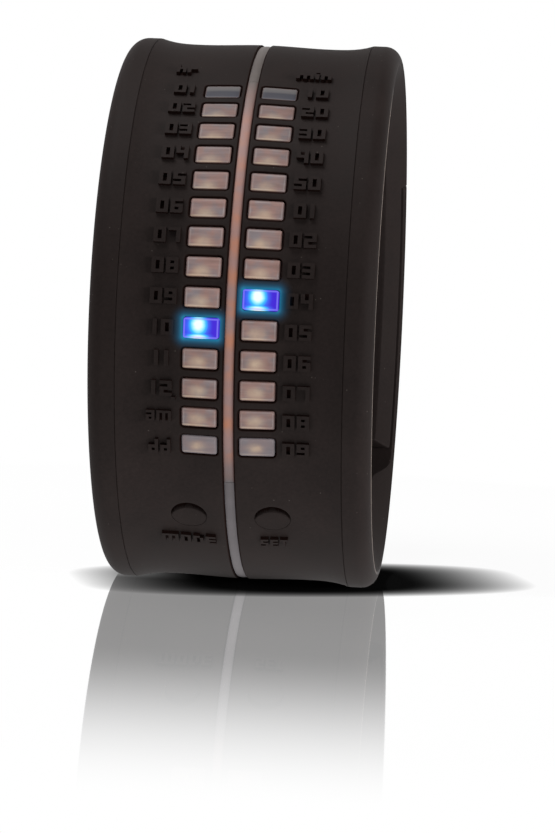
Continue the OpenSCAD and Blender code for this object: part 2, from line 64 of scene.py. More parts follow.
# Band: the same section as the solid's
WRIST_R = MOUNTS["wrist"]["dims"]["r_mm"]
CENTRE_Z = MOUNTS["wrist"]["pos_m"][2] / MM
BAND_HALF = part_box("front_band")[1].x / MM
BAND_R = 33.98
ROOF_R = 32.78
CREASE_X = 13.5
CREASE_HALF = 0.07
CREASE_DEPTH = 0.11
CREASE_IN = CREASE_X - CREASE_HALF
DIP_X = 8.2
DIP = 0.24
CREST_RISE = 0.38
CREST_R = BAND_R + CREST_RISE
LIP_R = 2.0
FLARE_W = 2.6
FLARE_TOP = CREST_R - LIP_R
FLARE_START = 12.0
RIDGE_W = 0.12
# How far down the flare the painted highlight on the lip's outermost edge reaches
EDGE_HIGHLIGHT_DEPTH = 0.3
EDGE_R = 0.12
HOLE_GUARD = 0.45
ARC_MM = math.radians(BAND_R)

# Angles of the band, the module's pocket and the strap ends
BLEND_ANGLE = 237.0
TONGUE_ROOT = 150.0
TONGUE_TIP = 218.0
CLASP_TIP = 150.22
CLASP_HINGE = 232.0
POCKET_FROM = -106.9
POCKET_TO = 63.6
POCKET_HALF = 13.65
TONGUE_TOP = WRIST_R + 2.0
CLASP_BOTTOM = TONGUE_TOP + 0.25
RAMP_ANGLE = 11.0
STRAP_CORNER_R = 0.4
STRAP_EDGE_R = 0.12
TIP_EDGE_SHARE = 0.4

# Snap studs and eyelets: places along the studs are radii from the band's axis
STUD_ANGLE = 196
STUD_X = 7.0
STUD_END = 30.65
STUD_HEAD_R = 1.3
STUD_HEAD_TOP = 31.9
STUD_NECK_R = 0.8
RIVET_R = 2.5
RIVET_BOTTOM = 33.24
RIVET_RIM = 33.5
RIVET_RISE = 0.36
EYELET_ANGLES = [205 - 9 * i for i in range(5)]
EYELET_HOLE_R = 2.125
EYELET_WALL_R = 2.1
EYELET_BORE_R = 1.7
EYELET_OUTER_LIP_R = 2.45
EYELET_INNER_LIP_R = 2.3

# Translucent line, and the windows' plates under the rubber
LINE_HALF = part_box("light_bar")[1].x / MM
GROOVE_HALF = LINE_HALF + 0.04
GROOVE_FLOOR = 33.18
LINE_TOP = 33.83
LINE_BOTTOM = GROOVE_FLOOR + 0.05
LINE_CROWN = 0.1
LENS_BOTTOM = 32.13
LENS_TOP = 32.73
PLATE_FROM = 0.72
PLATE_TO = 5.92
PLATE_LOW = -27.0
PLATE_HIGH = 59.0
BAR_FROM = -33.0
BAR_TO = 60.0
BAR_GAP = 0.09

# Windows and buttons, with rows counted from 0 at the top
ROWS = 14
FIRST_ROW = 55.8
ROW_STEP = 6.14
WINDOW_X = 3.44
WINDOW_W = 4.5
WINDOW_H = 2.7
WINDOW_CORNER = 0.48
WINDOW_RECESS = 0.1
LENS_GAP = 0.13
LENS_BEVEL = 0.06
LENS_CROWN = 0.04
LENS_SEAT = 0.02
LIT_HOUR_ROW = 9
LIT_MINUTE_ROW = 8
HALO_REACH = 2.05
HALO_INSET = 0.3
HALO_FALL = 2.2
SPILL_LIGHT = 0.52
BUTTON_ANGLE = -43.0
BUTTON_X = 5.08
BUTTON_HOLE_R = 2.2
BUTTON_R = 2.165
BUTTON_EDGE = 0.3
BUTTON_DIP = 0.16
BUTTON_TOP = 33.8
FLANGE_R = 2.45
FLANGE_BOTTOM = 32.44
FLANGE_TOP = 32.64
STEM_R = 1.2
STEM_END = 31.91
CRESCENT_R = 2.5
CRESCENT_SHIFT = 1.33
CRESCENT_DEPTH = 0.7

# Raised figures: height, stroke, counter and spacing, then how far they rise and sink, and how high the
# painted shade in their counters lies
GLYPH_H = 1.85
STROKE = 0.5
COUNTER = 0.46
LETTER_GAP = 0.26
BEARING = {"1": 0.22}
RELIEF = 0.46
SUNK = 0.12
COUNTER_SHADE_TOP = 0.03
FIGURE_BEVEL = 0.06

# Camera: turned about the ring's middle, at the photograph's viewing angle and framing
IMAGE_W = 555
IMAGE_H = 833
RING_PX = (257.84, 312.72)
RING_R_PX = 265.9
RING_R = 34.0
DISTANCE = 11.85
TURN = math.radians(4.996)
RISE = math.radians(6.0)
ROLL = math.radians(2.216)
SENSOR = 36

# Table, in metres: where its reflection comes and goes ahead of the ring's middle, the painted contact
# shadow's ellipse, and how its light changes with the distance from the ring's middle
TABLE_HALF = 4.0
MIRROR_SHARE = 0.75
MIRROR_STARTS = (0.002, 0.008)
MIRROR_ENDS = (0.13, 0.054)
MIRROR_FACING = (0.6, 0.85)
CONTACT_MIDDLE = (0.0073, -0.0013)
CONTACT_HALF = (0.030, 0.0141)
CONTACT_TURN = math.radians(19)
CONTACT_CORE = 0.43
CONTACT_FALL = 2.4
OPEN_FLOOR = 0.95
WHITE_FROM = (0.05, 0.12)
GLOW_FROM = (0.003, 0.014)
BOUNCE_FALL = (0.04, 0.2)
BOUNCE = 1.75
FAR_BOUNCE = 0.3

# Light of the world round the table
SOFT_LIGHT = 0.08
OVERHEAD = 0.25
OVERHEAD_FROM = (0.3, 0.75)


def ring_point(angle, x, r):
    """The place at an angle round the band, x along the wrist and r from its axis, above the table."""
    turn = math.radians(angle)
    z = max(CENTRE_Z + r * math.sin(turn), 0)
    return Vector((x, -r * math.cos(turn), z)) * MM


def local_frame(angle, x=0.0, r=0.0):
    """A frame at that place, with X along the wrist, Y up and over the band and Z outwards."""
    turn = math.radians(angle)
    up = Vector((0, math.sin(turn), math.cos(turn)))
    out = Vector((0, -math.cos(turn), math.sin(turn)))
    rows = Matrix((Vector((1, 0, 0)), up, out)).transposed().to_4x4()
    place = Vector((x * MM, out.y * r * MM, (CENTRE_Z + out.z * r) * MM))
    return Matrix.Translation(place) @ rows


def outer_r(x):
    """Radius of the band's outer surface: a shallow dip, then up to the crease and along the crest."""
    x = abs(x)
    if x < DIP_X:
        return BAND_R - DIP * (1 - math.cos(math.pi * x / DIP_X)) / 2
    rise = min((x - DIP_X) / (CREASE_X - DIP_X), 1)
    return BAND_R - DIP + (DIP + CREST_RISE) * rise ** 3


def spread(low, high, count):
    """Evenly spread values from low to high, with both ends."""
    return [low + (high - low) * i / count for i in range(count + 1)]


def quarter(steps):
    """The angles of a quarter turn, with both ends."""
    return spread(0, math.pi / 2, steps)


def rounding(steps):
    """A quarter round of radius 1 from its side to its top: how far in and how far down it lies."""
    return [(1 - math.sin(t), 1 - math.cos(t)) for t in quarter(steps)]


def sweep(section, angles, side=1):
    """Rows of places: a section (x, r) carried round the band, mirrored for a side of -1."""
    return [[ring_point(angle, side * x, r) for x, r in section] for angle in angles]


def show(name, data):
    """A new object in the scene with this mesh, camera or light."""
    made = bpy.data.objects.new(name, data)
    bpy.context.scene.collection.objects.link(made)
    return made


def show_faces(name, bm, materials, sharp):
    """A smooth piece from edited faces, whose edges stay sharp from this angle in degrees."""
    for face in bm.faces:
        face.smooth = True
    mesh = bpy.data.meshes.new(name)
    bm.to_mesh(mesh)
    bm.free()
    for each in materials:
        mesh.materials.append(each)
    mesh.set_sharp_from_angle(angle=math.radians(sharp))
    return show(name, mesh)


# Material numbers of the rubber mouldings: plain, painted shade, and a painted highlight on the lip's
# outermost edge
PLAIN = 0
PAINTED_SHADE = 1
PAINTED_HIGHLIGHT = 2


class Shell:
    """Faces gathered from grids and triangles, whose shared points become one when the mesh is made."""

    def __init__(self):
        self.points = []
        self.faces = []
        self.kinds = []

    def triangles(self, points, faces, kind=PLAIN):
        first = len(self.points)
        self.points.extend(points)
        self.faces.extend(tuple(first + i for i in face) for face in faces)
        self.kinds.extend([kind] * len(faces))

    def grid(self, rows, closed=False, kinds=None):
        """Quads between rows of points; kinds is a material number, or one for each step along a row."""
        width = len(rows[0])
        steps = width if closed else width - 1
        if not isinstance(kinds, list):
            kinds = [kinds or PLAIN] * steps
        first = len(self.points)
        self.points.extend(point for row in rows for point in row)
        for i in range(len(rows) - 1):
            for j in range(steps):
                low = first + i * width
                high = low + width
                self.faces.append((low + j, low + (j + 1) % width, high + (j + 1) % width, high + j))
                self.kinds.append(kinds[j])

    def cap(self, row):
        self.triangles(row, [tuple(range(len(row)))])

    def fan(self, ring, middle):
        count = len(ring)
        self.triangles(ring + [middle], [(i, (i + 1) % count, count) for i in range(count)])

    def build(self, name, materials, smooth=32):
        bm = bmesh.new()
        verts = [bm.verts.new(point) for point in self.points]
        for face, kind in zip(self.faces, self.kinds):
            bm.faces.new([verts[i] for i in face]).material_index = kind
        bmesh.ops.remove_doubles(bm, verts=bm.verts, dist=2e-6)
        bmesh.ops.recalc_face_normals(bm, faces=bm.faces)
        return show_faces(name, bm, materials, smooth)


def place_piece(piece, body, slot, *nodes):
    """Gives a piece its body and hides the CAD nodes that it stands for; slot is not used."""
    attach(piece, body)
    if nodes:
        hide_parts(*nodes)
    return piece


def inside(point, loop):
    """Whether a flat point lies inside a closed loop."""
    u, x = point
    found = False
    last = loop[-1]
    for here in loop:
        if (here[1] > x) != (last[1] > x):
            cross = here[0] + (x - here[1]) / (last[1] - here[1]) * (last[0] - here[0])
            found ^= u < cross
        last = here
    return found


def near(point, loop, margin=0.0):
    """Whether a flat point lies in a loop's box, grown by a margin."""
    return all(
        min(p[k] for p in loop) - margin <= point[k] <= max(p[k] for p in loop) + margin for k in (0, 1)
    )


def rounded_rect(u, x, height, width, corner, outset):
    """A flat rectangle's loop with round corners, with the same count of points at any outset."""
    steps = 5
    half_u = height / 2 + outset
    half_x = width / 2 + outset
    radius = corner + outset

    def corner_point(q, turn):
        side_u = 1 if q % 4 in (0, 3) else -1
        side_x = 1 if q % 4 in (0, 1) else -1
        return (
            u + side_u * (half_u - radius) + radius * math.cos(turn),
            x + side_x * (half_x - radius) + radius * math.sin(turn),
        )

    loop = []
    for q in range(4):
        loop += [corner_point(q, math.pi / 2 * (q + i / steps)) for i in range(steps + 1)]
        start = loop[-1]
        end = corner_point(q + 1, math.pi / 2 * (q + 1))
        for i in range(1, steps):
            t = i / steps
            loop.append((start[0] + (end[0] - start[0]) * t, start[1] + (end[1] - start[1]) * t))
    return loop


def circle(u, x, radius, count=40):
    """A flat circle's loop."""
    return [
        (u + radius * math.cos(math.tau * i / count), x + radius * math.sin(math.tau * i / count))
        for i in range(count)
    ]


def plan_triangles(outline, holes, guards, spacing):
    """Points of a flat outline with holes, loops first, and the triangles that fill it."""
    loops = [outline] + holes
    points = []
    edges = []
    for loop in loops:
        first = len(points)
        points.extend(loop)
        edges.extend((first + i, first + (i + 1) % len(loop)) for i in range(len(loop)))
    low = [min(p[k] for p in outline) + spacing * 0.6 for k in (0, 1)]
    high = [max(p[k] for p in outline) - spacing * 0.6 for k in (0, 1)]
    counts = [max(1, round((high[k] - low[k]) / spacing)) for k in (0, 1)]
    for u in spread(low[0], high[0], counts[0]):
        for x in spread(low[1], high[1], counts[1]):
            here = (u, x)
            if any(near(here, guard) and inside(here, guard) for guard in guards):
                continue
            if inside(here, outline):
                points.append(here)
    verts, _, faces, sources, _, _ = delaunay_2d_cdt([Vector(p) for p in points], edges, [], 0, 1e-7)
    index = [source[0] for source in sources]
    kept = []
    for face in faces:
        middle = sum((verts[i] for i in face), Vector((0, 0))) / 3
        if any(near(middle, hole) and inside(middle, hole) for hole in holes):
            continue
        if inside(middle, outline):
            kept.append(tuple(index[i] for i in face))
    return points, kept


# Flat places are (u, x): u is the length round the band at BAND_R from the middle of the dial.
def row_angle(row):
    """Angle of a row of windows."""
    return FIRST_ROW - row * ROW_STEP


def panel_holes(outset):
    """Loops of one column's windows and its button, at an outset from their true edges."""
    windows = [
        rounded_rect(row_angle(i) * ARC_MM, WINDOW_X, WINDOW_H, WINDOW_W, WINDOW_CORNER, outset)
        for i in range(ROWS)
    ]
    return windows + [circle(BUTTON_ANGLE * ARC_MM, BUTTON_X, BUTTON_HOLE_R + outset * BUTTON_EDGE)]


def edge_rings(loop_at, radius_at, bottom_r, edge_r=EDGE_R):
    """Rings from an opening's edge down its rounding, which is edge_r deep, and down its wall."""
    rings = []
    for out, drop in rounding(4):
        rings.append([(u, x, radius_at(x) - edge_r * drop) for u, x in loop_at(EDGE_R * out)])
    rings.append([(u, x, bottom_r) for u, x in loop_at(0)])
    return rings


def flare_x(r):
    """Place across the band of its flared edge at a radius, softened where it meets the bore."""
    drop = min(max((FLARE_TOP - r) / (FLARE_TOP - WRIST_R), 0), 1)
    return BAND_HALF - FLARE_W * drop ** 1.12


def lip_profile(inner_r=WRIST_R):
    """Places (x, r) from the crease over the crest, round the lip and in along the flare."""
    points = [(CREASE_IN, outer_r(CREASE_IN)), (CREASE_X, CREST_R - CREASE_DEPTH)]
    points += [(x, CREST_R) for x in spread(CREASE_X + CREASE_HALF, BAND_HALF - LIP_R, 3)]
    points += [(BAND_HALF - LIP_R * away, CREST_R - LIP_R * drop) for away, drop in rounding(12)[1:]]
    points.append((BAND_HALF - RIDGE_W, FLARE_TOP - RIDGE_W * 0.6))
    points += [(flare_x(r), r) for r in spread(FLARE_TOP - RIDGE_W * 1.6, inner_r, 6)]
    return points


def section_kinds(profile, closed=False, ridge=PLAIN):
    """Material numbers along a section: painted shade in the groove, and the ridge's number on the lip's
    outermost edge, where the panel gives the painted highlight.
    """
    ends = profile[1:] + profile[:1] if closed else profile[1:]
    kinds = []
    for (x, r), (next_x, next_r) in zip(profile, ends):
        middle_x = abs(x + next_x) / 2
        middle_r = (r + next_r) / 2
        if middle_x < GROOVE_HALF + EDGE_R and middle_r > GROOVE_FLOOR:
            kinds.append(PAINTED_SHADE)
        elif BAND_HALF - RIDGE_W < middle_x and -RIDGE_W < middle_r - FLARE_TOP < EDGE_HIGHLIGHT_DEPTH:
            kinds.append(ridge)
        else:
            kinds.append(PLAIN)
    return kinds


PANEL_X = spread(GROOVE_HALF + EDGE_R, CREASE_IN, 16)
BORE_X = [GROOVE_HALF] + PANEL_X[1:-1] + [POCKET_HALF]


def groove_profile():
    """Places (x, r) from the groove's floor up its wall and over its rounded edge."""
    points = [(GROOVE_HALF, GROOVE_FLOOR)]
    for out, drop in reversed(rounding(4)):
        points.append((GROOVE_HALF + EDGE_R * out, outer_r(GROOVE_HALF) - EDGE_R * drop))
    return points


def half_section(inner_r=WRIST_R):
    """Half of the solid band's section, from the groove's floor round to the bore, as places (x, r)."""
    points = groove_profile() + [(x, outer_r(x)) for x in PANEL_X[1:-1]]
    points += lip_profile(inner_r)
    points += [(x, inner_r) for x in reversed(BORE_X)]
    return points


def both_halves(half):
    """A closed section from one half: out on one side and back on the other."""
    return half + [(-x, r) for x, r in reversed(half)]


def pocket_angles():
    """Angles of the rows in the module's stretch, with the ends of the lit bar's slot among them."""
    stops = [POCKET_FROM, BAR_FROM - BAR_GAP, BAR_TO + BAR_GAP, POCKET_TO]
    rows = []
    for low, high in zip(stops, stops[1:]):
        rows += spread(low, high, max(1, round((high - low) / 1.2)))[:-1]
    return rows + [POCKET_TO]


def panel_outline(rows):
    """Flat outline of one half of the panel over the module, from the groove's edge to the crease."""
    low = rows[0] * ARC_MM
    high = rows[-1] * ARC_MM
    outline = [(angle * ARC_MM, PANEL_X[0]) for angle in rows]
    outline += [(high, x) for x in PANEL_X[1:-1]]
    outline += [(angle * ARC_MM, CREASE_IN) for angle in reversed(rows)]
    outline += [(low, x) for x in reversed(PANEL_X[1:-1])]
    return outline


def roof_points(points, outline):
    """The panel's points as they lie on the pocket's roof, under the groove's wall and the lip."""
    roof = list(points)
    for i, (u, x) in enumerate(outline):
        if x == PANEL_X[0]:
            roof[i] = (u, GROOVE_HALF)
        elif x == CREASE_IN:
            roof[i] = (u, POCKET_HALF)
    first = len(outline)
    for loop in panel_holes(0):
        roof[first:first + len(loop)] = loop
        first += len(loop)
    return roof


def add_panel(shell, rows):
    """Adds the skin over the module with its openings, and the lips and the groove's walls beside it."""
    outline = panel_outline(rows)
    points, faces = plan_triangles(outline, panel_holes(EDGE_R), panel_holes(HOLE_GUARD), 0.8)
    roof = roof_points(points, outline)
    lip = lip_profile() + [(POCKET_HALF, WRIST_R), (POCKET_HALF, ROOF_R)]
    for side in (-1, 1):
        shell.triangles([ring_point(u / ARC_MM, side * x, outer_r(x)) for u, x in points], faces)
        shell.triangles([ring_point(u / ARC_MM, side * x, ROOF_R) for u, x in roof], faces)
        for k in range(ROWS + 1):
            edge_r = EDGE_R if k < ROWS else EDGE_R * BUTTON_EDGE
            rings = edge_rings(lambda outset: panel_holes(outset)[k], outer_r, ROOF_R, edge_r)
            places = [[ring_point(u / ARC_MM, side * x, r) for u, x, r in ring] for ring in rings]
            # Painted shade on the windows' rounded edges and on the walls of every opening; the button
            # hole's rounded edge stays plain.
            shell.grid(places[:-1], closed=True, kinds=PAINTED_SHADE if k < ROWS else PLAIN)
            shell.grid(places[-2:], closed=True, kinds=PAINTED_SHADE)
        for profile in (lip, groove_profile()):
            shell.grid(sweep(profile, rows, side), kinds=section_kinds(profile, ridge=PAINTED_HIGHLIGHT))


def add_groove_floor(shell, rows):
    """Adds the groove's floor and the roof under it, and in their place the walls of the lit bar's slot."""
    slot = (BAR_FROM - BAR_GAP, BAR_TO + BAR_GAP)
    sides = (-GROOVE_HALF, GROOVE_HALF)
    levels = (GROOVE_FLOOR, ROOF_R)
    for pair in zip(rows, rows[1:]):
        if slot[0] <= sum(pair) / 2 <= slot[1]:
            for x in sides:
                shell.grid(sweep([(x, r) for r in levels], pair))
        else:
            for r in levels:
                shell.grid(sweep([(x, r) for x in sides], pair))
    for angle in slot:
        shell.grid([[ring_point(angle, x, r) for x in sides] for r in levels])


def add_solid_band(shell):
    """Adds the band's solid stretches below and above the module's pocket, with their ends."""
    section = both_halves(half_section())
    lower = spread(BLEND_ANGLE - 360, POCKET_FROM, 14)
    upper = spread(POCKET_TO, TONGUE_ROOT - EDGE_R / ARC_MM, 72)
    for stretch in (lower, upper):
        shell.grid(sweep(section, stretch), closed=True, kinds=section_kinds(section, closed=True))
    shell.cap(sweep(section, lower[:1])[0])
    rows = sweep(section, upper[-1:])
    for away, drop in rounding(3)[1:]:
        share = 1 - EDGE_R * drop / BAND_HALF
        drawn_in = [(x * share, r - EDGE_R * drop) if r > TONGUE_TOP else (x, r) for x, r in section]
        rows += sweep(drawn_in, [TONGUE_ROOT - EDGE_R * away / ARC_MM])
    shell.grid(rows, closed=True)
    shell.cap(rows[-1])


def front_rubber(materials):
    """The front moulding: a skin with window openings over the module's pocket, and solid band beyond."""
    shell = Shell()
    rows = pocket_angles()
    add_panel(shell, rows)
    add_groove_floor(shell, rows)
    wall_x = [-x for x in reversed(BORE_X)] + BORE_X
    for angle in (POCKET_FROM, POCKET_TO):
        shell.grid([[ring_point(angle, x, r) for x in wall_x] for r in (WRIST_R, ROOF_R)])
    add_solid_band(shell)
    return shell.build("band_rubber", materials)


def corner_half(length):
    """Half width of a strap at a length from its end, with round corners."""
    if length >= STRAP_CORNER_R:
        return BAND_HALF
    rest = STRAP_CORNER_R - length
    return BAND_HALF - STRAP_CORNER_R + math.sqrt(max(STRAP_CORNER_R ** 2 - rest ** 2, 0))


def clasp_inner_r(angle):
    """Inner radius of the outer strap end: full thickness at its root, then the ramp up over the tongue."""
    ramp_end = CLASP_HINGE - 0.5
    t = min(max((ramp_end - angle) / RAMP_ANGLE, 0), 1)
    return WRIST_R + (CLASP_BOTTOM - WRIST_R) * (1 - math.cos(math.pi * t)) / 2


def clasp_section(angle, inset):
    """The outer strap end's section at an angle, drawn in by an inset and narrowed at the tip's corners."""
    half = corner_half(max((angle - CLASP_TIP) * ARC_MM, 0.1)) - inset
    inner_r = clasp_inner_r(angle)
    squeeze = (half - PANEL_X[0]) / (BAND_HALF - PANEL_X[0])
    places = []
    for x, r in half_section(inner_r):
        if x > PANEL_X[0]:
            x = PANEL_X[0] + (x - PANEL_X[0]) * squeeze
        middle = (inner_r + outer_r(x)) / 2
        places.append((x, r - inset if r > middle else r + inset))
    return [ring_point(angle, x, r) for x, r in both_halves(places)]


def clasp_rubber(materials):
    """The outer strap end, from the soft root to its rounded tip."""
    shell = Shell()
    angles = [CLASP_TIP + STRAP_CORNER_R * (1 - math.cos(t)) / ARC_MM for t in quarter(9)]
    angles += spread(angles[-1], BLEND_ANGLE, 70)[1:]
    rows = []
    for away, drop in reversed(rounding(4)[1:]):
        past_tip = STRAP_EDGE_R * away / ARC_MM * TIP_EDGE_SHARE
        rows.append(clasp_section(CLASP_TIP + past_tip, STRAP_EDGE_R * drop))
    rows += [clasp_section(angle, 0) for angle in angles[2:]]
    shell.grid(rows, closed=True, kinds=section_kinds(both_halves(half_section()), closed=True))
    shell.cap(rows[0])
    shell.cap(rows[-1])
    return shell.build("clasp_rubber", materials)


def flare_in(x, r):
    """A place across the tongue, drawn in near its edges so that they follow the flared opening."""
    if abs(x) < FLARE_START:
        return x
    share = (flare_x(r) - FLARE_START) / (BAND_HALF - FLARE_START)
    return math.copysign(FLARE_START + (abs(x) - FLARE_START) * share, x)


def tongue_point(u, x, r):
    """The place of one of the tongue's flat points at a radius."""
    return ring_point(u / ARC_MM, flare_in(x, r), r)


def tongue_loop(inset):
    """The tongue's flat outline at an inset, square at its root and round at its tip corners."""
    tip = TONGUE_TIP * ARC_MM
    root = TONGUE_ROOT * ARC_MM
    half = BAND_HALF - inset
    radius = STRAP_CORNER_R - inset
    across = BAND_HALF - STRAP_CORNER_R
    side = [(u, half) for u in spread(root, tip - STRAP_CORNER_R, 40)]
    side += [
        (tip - STRAP_CORNER_R + radius * math.sin(t), across + radius * math.cos(t))
        for t in quarter(10)[1:]
    ]
    end = [(tip - inset, x) for x in spread(across, -across, 26)[1:-1]]
    other_side = [(u, -x) for u, x in reversed(side)]
    return side + end + other_side + [(root, x) for x in spread(-half, half, 34)[1:-1]]


def eyelet_hole(k, outset):
    """The flat loop of one of the tongue's eyelet holes, which come in pairs."""
    side = 1 if k % 2 else -1
    return circle(EYELET_ANGLES[k // 2] * ARC_MM, STUD_X * side, EYELET_HOLE_R + outset, 32)


def tongue_rubber(materials):
    """The thin inner strap end with its eyelet holes."""
    shell = Shell()
    holes = [eyelet_hole(k, 0) for k in range(len(EYELET_ANGLES) * 2)]
    guards = [eyelet_hole(k, 0.5) for k in range(len(holes))]
    points, faces = plan_triangles(tongue_loop(STRAP_EDGE_R), holes, guards, 1.1)
    for r in (WRIST_R, TONGUE_TOP):
        shell.triangles([tongue_point(u, x, r) for u, x in points], faces)
    rows = []
    for face_r, way, turns in ((TONGUE_TOP, -1, rounding(4)), (WRIST_R, 1, reversed(rounding(4)))):
        for inset, drop in turns:
            r = face_r + way * STRAP_EDGE_R * drop
            rows.append([tongue_point(u, x, r) for u, x in tongue_loop(STRAP_EDGE_R * inset)])
    shell.grid(rows, closed=True)
    for hole in holes:
        walls = [[ring_point(u / ARC_MM, x, r) for u, x in hole] for r in (WRIST_R, TONGUE_TOP)]
        shell.grid(walls, closed=True)
    return shell.build("tongue_rubber", materials)


def swept_bar(name, section, angles, materials):
    """A closed bar: one section (x, r) carried round the band through the angles."""
    rows = sweep(section, angles)
    shell = Shell()
    shell.grid(rows, closed=True)
    shell.cap(rows[0])
    shell.cap(rows[-1])
    return shell.build(name, materials)


def line_piece(name, from_angle, to_angle, bottom_r, material):
    """A stretch of the translucent line with a gently crowned top."""
    shares = (-1, -0.94, -0.7, -0.35, 0, 0.35, 0.7, 0.94, 1)
    top = [(LINE_HALF * share, LINE_TOP - LINE_CROWN * share * share) for share in shares]
    top[0] = (top[0][0], top[0][1] - 0.06)
    top[-1] = (top[-1][0], top[-1][1] - 0.06)
    section = [(LINE_HALF, bottom_r), (-LINE_HALF, bottom_r)] + top
    steps = max(4, round((to_angle - from_angle) / 1.2))
    return swept_bar(name, section, spread(from_angle, to_angle, steps), [material])


def set_or_link(tree, socket, value):
    """A number or a tuple becomes the socket's setting, and another socket is linked to it."""
    if isinstance(value, bpy.types.NodeSocket):
        tree.links.new(value, socket)
    else:
        socket.default_value = value


def add_node(tree, kind, inputs, **settings):
    """A new node with its settings, and with its inputs set or linked by name or number."""
    node = tree.nodes.new(kind)
    for name, value in settings.items():
        setattr(node, name, value)
    for key, value in inputs.items():
        set_or_link(tree, node.inputs[key], value)
    return node


def make_calc(tree):
    """A short way to chain math nodes, from numbers and sockets."""
    def calc(operation, *values, clamp=False):
        inputs = dict(enumerate(values))
        return add_node(tree, "ShaderNodeMath", inputs, operation=operation, use_clamp=clamp).outputs[0]
    return calc


def object_place(tree):
    """The place on the object, in metres."""
    return tree.nodes.new("ShaderNodeTexCoord").outputs["Object"]


def parts_of(tree, vector):
    """The X, Y and Z sockets of a vector."""
    return add_node(tree, "ShaderNodeSeparateXYZ", {0: vector}).outputs


def drawn_out(tree, place, scale):
    """A place scaled by its own amount along each axis, so that what uses it is drawn out."""
    return add_node(tree, "ShaderNodeMapping", {"Vector": place, "Scale": scale}).outputs[0]


def noise(tree, place, scale, detail):
    """Noise from 0 to 1 at a place."""
    inputs = {"Vector": place, "Scale": scale, "Detail": detail}
    return add_node(tree, "ShaderNodeTexNoise", inputs).outputs["Fac"]


def streaks(tree, scale, stretch):
    """Noise on the object's own place, drawn out along each axis by its stretch."""
    return noise(tree, drawn_out(tree, object_place(tree), stretch), scale, 3)


def fade(tree, low, high, value):
    """A smooth change from 0 to 1 as a value goes from low to high."""
    inputs = {"Value": value, "From Min": low, "From Max": high}
    return add_node(tree, "ShaderNodeMapRange", inputs, interpolation_type="SMOOTHSTEP").outputs[0]


def scaled(tree, colour, factor):
    """A colour made lighter or darker by a factor."""
    inputs = {0: colour, "Scale": factor}
    return add_node(tree, "ShaderNodeVectorMath", inputs, operation="SCALE").outputs[0]


def mix_colours(tree, factor, a, b, way="MIX"):
    """Two colours mixed by a factor; a colour is a socket or three numbers."""
    node = tree.nodes.new("ShaderNodeMix")
    node.data_type = "RGBA"
    node.blend_type = way
    set_or_link(tree, node.inputs["Factor"], factor)
    for socket, value in ((node.inputs[6], a), (node.inputs[7], b)):
        set_or_link(tree, socket, (*value, 1) if isinstance(value, tuple) else value)
    return node.outputs[2]


def ramp_node(tree, factor, stops):
    """A colour for each value, from stops (value, colour)."""
    node = tree.nodes.new("ShaderNodeValToRGB")
    elements = node.color_ramp.elements
    while len(elements) < len(stops):
        elements.new(0.5)
    for element, (place, colour) in zip(elements, stops):
        element.position = place
        element.color = (*colour, 1)
    tree.links.new(factor, node.inputs["Fac"])
    return node.outputs["Color"]


def mix_shaders(tree, factor, a, b):
    """Two shaders mixed by a factor."""
    return add_node(tree, "ShaderNodeMixShader", {0: factor, 1: a, 2: b}).outputs[0]


def add_bump(tree, shader, height, strength, depth):
    """Gives a shader fine relief from a height."""
    inputs = {"Height": height, "Strength": strength, "Distance": depth}
    bump = add_node(tree, "ShaderNodeBump", inputs)
    tree.links.new(bump.outputs[0], shader.inputs["Normal"])


def band_mask(calc, value, middle, half, soft):
    """1 where a value lies within half of a middle, falling to 0 over a soft edge."""
    away = calc("ABSOLUTE", calc("SUBTRACT", value, middle))
    beyond = calc("MAXIMUM", calc("SUBTRACT", away, half), 0)
    return calc("SUBTRACT", 1, calc("DIVIDE", beyond, soft), clamp=True)


def lens_lug(name):
    """One window's lug, flat at the origin with its face up, with its own flat map over the face."""
    height = outer_r(WINDOW_X) - WINDOW_RECESS - LENS_BOTTOM - LENS_SEAT
    bm = bmesh.new()

    def add_ring(inset, share, z):
        loop = rounded_rect(0, 0, WINDOW_H, WINDOW_W, WINDOW_CORNER, -LENS_GAP - inset)
        return [bm.verts.new((x * share * MM, u * share * MM, z * MM)) for u, x in loop]

    rings = [
        add_ring(0, 1, 0), add_ring(0, 1, height - LENS_BEVEL),
        add_ring(LENS_BEVEL * 0.3, 1, height - LENS_BEVEL * 0.3), add_ring(LENS_BEVEL, 1, height),
    ]
    for share in (0.75, 0.5, 0.25):
        rings.append(add_ring(LENS_BEVEL, share, height + LENS_CROWN * (1 - share ** 2)))
    count = len(rings[0])
    for low, high in zip(rings, rings[1:]):
        for i in range(count):
            k = (i + 1) % count
            bm.faces.new((low[i], low[k], high[k], high[i]))
    bm.faces.new(rings[0])
    middle = bm.verts.new((0, 0, (height + LENS_CROWN) * MM))
    for i in range(count):
        bm.faces.new((rings[-1][i], rings[-1][(i + 1) % count], middle))
    bmesh.ops.recalc_face_normals(bm, faces=bm.faces)
    flat = bm.loops.layers.uv.new("window")
    for loop in (loop for face in bm.faces for loop in face.loops):
        place = loop.vert.co / MM
        loop[flat].uv = (place.x / WINDOW_W + 0.5, place.y / WINDOW_H + 0.5)
    return show_faces(name, bm, [], 50)


